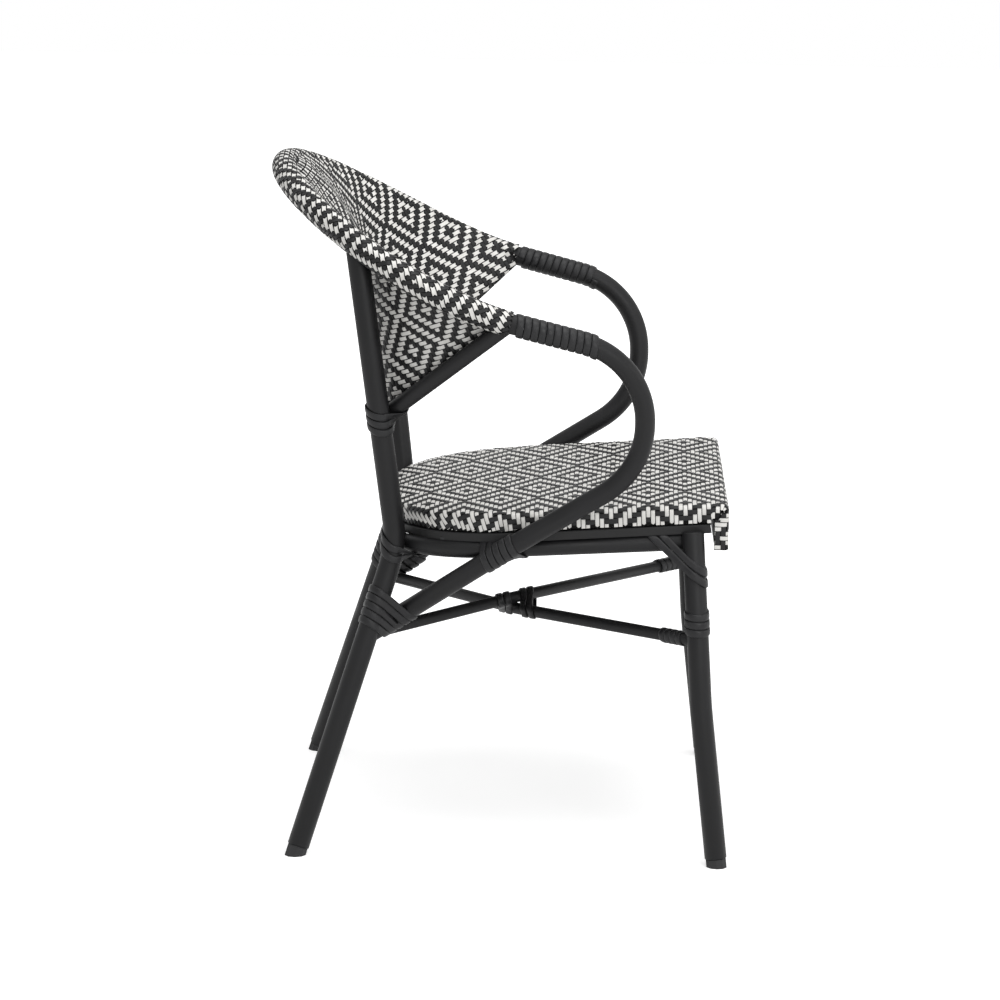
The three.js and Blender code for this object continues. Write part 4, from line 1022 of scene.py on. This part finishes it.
def nearest_on(line, flat):
    """The place on a plane line nearest to each point, as an index with a fraction, and the gap."""
    best = np.full(len(flat), 1e9)
    place = np.zeros(len(flat))
    for k in range(len(line) - 1):
        run = line[k + 1] - line[k]
        t = np.clip(((flat - line[k]) @ run) / (run @ run), 0, 1)
        gap = np.linalg.norm(flat - line[k] - t[:, None] * run, axis=1)
        closer = gap < best
        best[closer] = gap[closer]
        place[closer] = k + t[closer]
    return place, best


def pick(rows, place):
    """Rows of an array at fractional indices."""
    k = np.clip(np.floor(place).astype(int), 0, len(rows) - 2)
    t = (place - k)[:, None]
    return rows[k] * (1 - t) + rows[k + 1] * t


def on_tube(centres, outs, asides, where, angle, radius):
    """Places on a tube's skin, turned by an angle from its outward direction towards another."""
    spread = pick(outs, where) * np.cos(angle)[:, None] + pick(asides, where) * np.sin(angle)[:, None]
    return pick(centres, where) + radius * spread


fan_margin = 0.5
roll_margin = 0.02
end_margin = 0.01


def back_cover(line):
    """Places plane points on the panel, round the roll above it or round the rail below it."""
    sign = np.where(line[:, 0] < 0, 1.0, -1.0)
    flat = np.stack([np.abs(line[:, 0]), line[:, 1]], axis=1)
    rulings = unit_rows(flat_low - flat_top)
    offset = flat[:, None, :] - flat_top[None]
    beyond = offset[..., 0] * -rulings[None, :, 1] + offset[..., 1] * rulings[None, :, 0]
    k = np.clip((beyond > 0).sum(1) - 1, 0, columns - 1)
    rows = np.arange(len(flat))
    near, far = beyond[rows, k], -beyond[rows, k + 1]
    share = np.clip(near / np.maximum(near + far, 1e-9), 0, 1)
    place_index = k + share
    top2, low2 = pick(flat_top, place_index), pick(flat_low, place_index)
    span = low2 - top2
    drop = ((flat - top2) * span).sum(1) / (span ** 2).sum(1)
    in_fan = beyond[:, -1] < fan_margin
    top3, low3 = pick(sheet_top, place_index), pick(sheet_low, place_index)
    inner_drop = np.clip(drop, 0, 1)
    place = top3 + (low3 - top3) * inner_drop[:, None]
    rail_share = 1 - place_index / columns
    fullness = np.sin(math.pi * inner_drop ** bulge_power)
    place[:, 1] -= back_weave_bulge * fullness * rail_share ** 2
    valid = in_fan & (drop >= 0) & (drop <= 1)
    upper = (drop < 0) | ~in_fan
    if upper.any():
        where, gap, before_end = on_roll(flat[upper])
        angle = gap / roll_radius
        place[upper] = on_tube(roll_centres, roll_normals, roll_ups, where, angle, roll_radius)
        valid[upper] = (angle > -roll_margin) & (angle < 2 * math.pi) & before_end
    lower = in_fan & (drop > 1)
    if lower.any():
        where, gap = nearest_on(flat_low, flat[lower])
        angle = gap / low_radius
        place[lower] = on_tube(rail_low, low_normals, low_downs, where, angle, low_radius)
        valid[lower] = (angle < low_wrap_angle) & (where < columns - end_margin)
    place[:, 0] = sign * np.abs(place[:, 0])
    return place, valid


back_row = 6.15
back_column = 5.53
back_skew = -0.0273
back_eye = (234.0, -250.0)
back_widths = (4.9, 4.7)
side_spare = 70
low_spare = 20
peak_spare = 8


def skewed_back(line):
    return back_cover(line + np.stack([np.zeros(len(line)), back_skew * (line[:, 0] - back_eye[0])], axis=1))


flat_reach = float(roll_flat[:, 0].max()) + side_spare
flat_bottom = float(flat_low[:, 1].min()) - low_spare
flat_peak = 2 * math.pi * roll_radius + peak_spare
# The pattern plane's normal points out of the back, so the rule is turned round for the sitter's side
add_weave("back", skewed_back, (back_row, back_column), back_eye, (flat_reach, flat_bottom, flat_peak),
          back_widths, lambda i, j: ~pale_over(i, j), ["back_panel_weave", "back_rim_weave"])
# A dark sheet in the middle of the back's strips: painted shade in the gaps between them
add_gap_shade_sheet("back_gap_shade", back_cover, (-flat_reach, flat_bottom), (flat_reach, flat_peak), 0)

# Materials of the CAD solids that stay

kept = {
    "seat_hoop": board_black, "apron_board": board_black,
    "arm_spigot_left": bare_steel, "arm_spigot_right": bare_steel,
}
for name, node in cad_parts.items():
    if node.hide_render:
        continue
    if name.startswith(("glide", "seat_spacer")):
        material = glide_rubber
    else:
        material = kept[name]
    node.data.materials.clear()
    node.data.materials.append(material)

# Floor, lights, world and camera

floor_half = 9
floor_mesh = bpy.data.meshes.new("floor")
floor_mesh.from_pydata([(x * floor_half, y * floor_half, 0) for x, y in ((-1, -1), (1, -1), (1, 1), (-1, 1))],
                       [], [(0, 1, 2, 3)])
new_object("floor", floor_mesh)


def seen_directly(tree):
    """1 for rays from the camera, off gloss and through glass, and 0 for the rest."""
    paths = tree.nodes.new("ShaderNodeLightPath")
    total = paths.outputs["Is Camera Ray"]
    for name in ("Is Glossy Ray", "Is Transmission Ray"):
        add = tree.nodes.new("ShaderNodeMath")
        add.operation = "MAXIMUM"
        tree.links.new(total, add.inputs[0])
        tree.links.new(paths.outputs[name], add.inputs[1])
        total = add.outputs[0]
    return total


floor_material = bpy.data.materials.new("pale_floor")
floor_material.use_nodes = True
floor_tree = floor_material.node_tree
link = floor_tree.links.new
floor_shader = floor_tree.nodes["Principled BSDF"]
floor_shader.inputs["Base Color"].default_value = (0.86, 0.86, 0.86, 1)
floor_shader.inputs["Roughness"].default_value = 0.9
# The floor glows for camera and gloss rays, at half strength near the chair and full strength from 2.2 m out.
# The floor round the chair is left darker: painted shade that keeps the rendered shadow
glow = floor_tree.nodes.new("ShaderNodeEmission")
glow.inputs["Color"].default_value = (1, 1, 1, 1)
geometry = floor_tree.nodes.new("ShaderNodeNewGeometry")
distance = floor_tree.nodes.new("ShaderNodeVectorMath")
distance.operation = "LENGTH"
link(geometry.outputs["Position"], distance.inputs[0])
fade = floor_tree.nodes.new("ShaderNodeMapRange")
fade.interpolation_type = "SMOOTHSTEP"
for socket, value in (("From Min", 0.5), ("From Max", 2.2), ("To Min", 0.5), ("To Max", 1.0)):
    fade.inputs[socket].default_value = value
link(distance.outputs["Value"], fade.inputs["Value"])
link(fade.outputs["Result"], glow.inputs["Strength"])
both = floor_tree.nodes.new("ShaderNodeAddShader")
choose = floor_tree.nodes.new("ShaderNodeMixShader")
link(floor_shader.outputs[0], both.inputs[0])
link(glow.outputs[0], both.inputs[1])
link(seen_directly(floor_tree), choose.inputs["Fac"])
link(floor_shader.outputs[0], choose.inputs[1])
link(both.outputs[0], choose.inputs[2])
link(choose.outputs[0], floor_tree.nodes["Material Output"].inputs["Surface"])
floor_mesh.materials.append(floor_material)

world = bpy.data.worlds.new("studio")
bpy.context.scene.world = world
world.use_nodes = True
world_tree = world.node_tree
link = world_tree.links.new
background = world_tree.nodes["Background"]
background.inputs["Color"].default_value = (1, 1, 1, 1)
background.inputs["Strength"].default_value = 0.45
white = world_tree.nodes.new("ShaderNodeBackground")
white.inputs["Color"].default_value = (1, 1, 1, 1)
white.inputs["Strength"].default_value = 1.0
mix = world_tree.nodes.new("ShaderNodeMixShader")
link(seen_directly(world_tree), mix.inputs["Fac"])
link(background.outputs[0], mix.inputs[1])
link(white.outputs[0], mix.inputs[2])
link(mix.outputs[0], world_tree.nodes["World Output"].inputs["Surface"])


def placed(right, upward, ahead, place):
    """The matrix of an object at a place that looks ahead along its own -Z."""
    turn = np.stack([right, upward, -ahead], axis=1)
    return Matrix([[*turn[i], place[i]] for i in range(3)] + [[0, 0, 0, 1]])


def add_light(name, place, target, size, power):
    light = bpy.data.lights.new(name, "AREA")
    light.shape = "DISK"
    light.size = size
    light.energy = power
    lamp = new_object(name, light)
    place, target = np.array(place, float), np.array(target, float)
    ahead = unit(target - place)
    right = unit(np.cross(ahead, [0, 0, 1] if abs(ahead[2]) < 0.95 else [0, 1, 0]))
    lamp.matrix_world = placed(right, np.cross(right, ahead), ahead, place)


add_light("overhead", (-0.6, -0.3, 3.4), (0, 0, 0.4), 2.6, 57)
add_light("camera_side", (-3.2, -1.2, 2.0), (0, 0, 0.5), 2.0, 42)
add_light("front_side", (-1.0, -3.4, 1.7), (0, 0, 0.5), 1.8, 19)

azimuth, elevation, roll = math.radians(-89.26), math.radians(11.76), math.radians(1.0)
aim_back, aim_up = -0.00113, 0.405
camera_distance = 5.771
sensor_width = 36
focal_share = 4.476
look = -np.array([math.sin(azimuth) * math.cos(elevation),
                  -math.cos(azimuth) * math.cos(elevation), math.sin(elevation)])
aim = np.array([0, aim_back, aim_up])
eye = aim - look * camera_distance
right = unit(np.cross(look, [0, 0, 1]))
upward = np.cross(right, look)
rolled_right = right * math.cos(roll) + upward * math.sin(roll)
rolled_up = upward * math.cos(roll) - right * math.sin(roll)
camera_data = bpy.data.cameras.new("camera")
camera_data.sensor_width = sensor_width
camera_data.lens = focal_share * sensor_width
camera_data.clip_end = 60
camera = new_object("camera", camera_data)
camera.matrix_world = placed(rolled_right, rolled_up, look, eye)
bpy.context.scene.camera = camera
bpy.context.scene.view_settings.view_transform = "Standard"
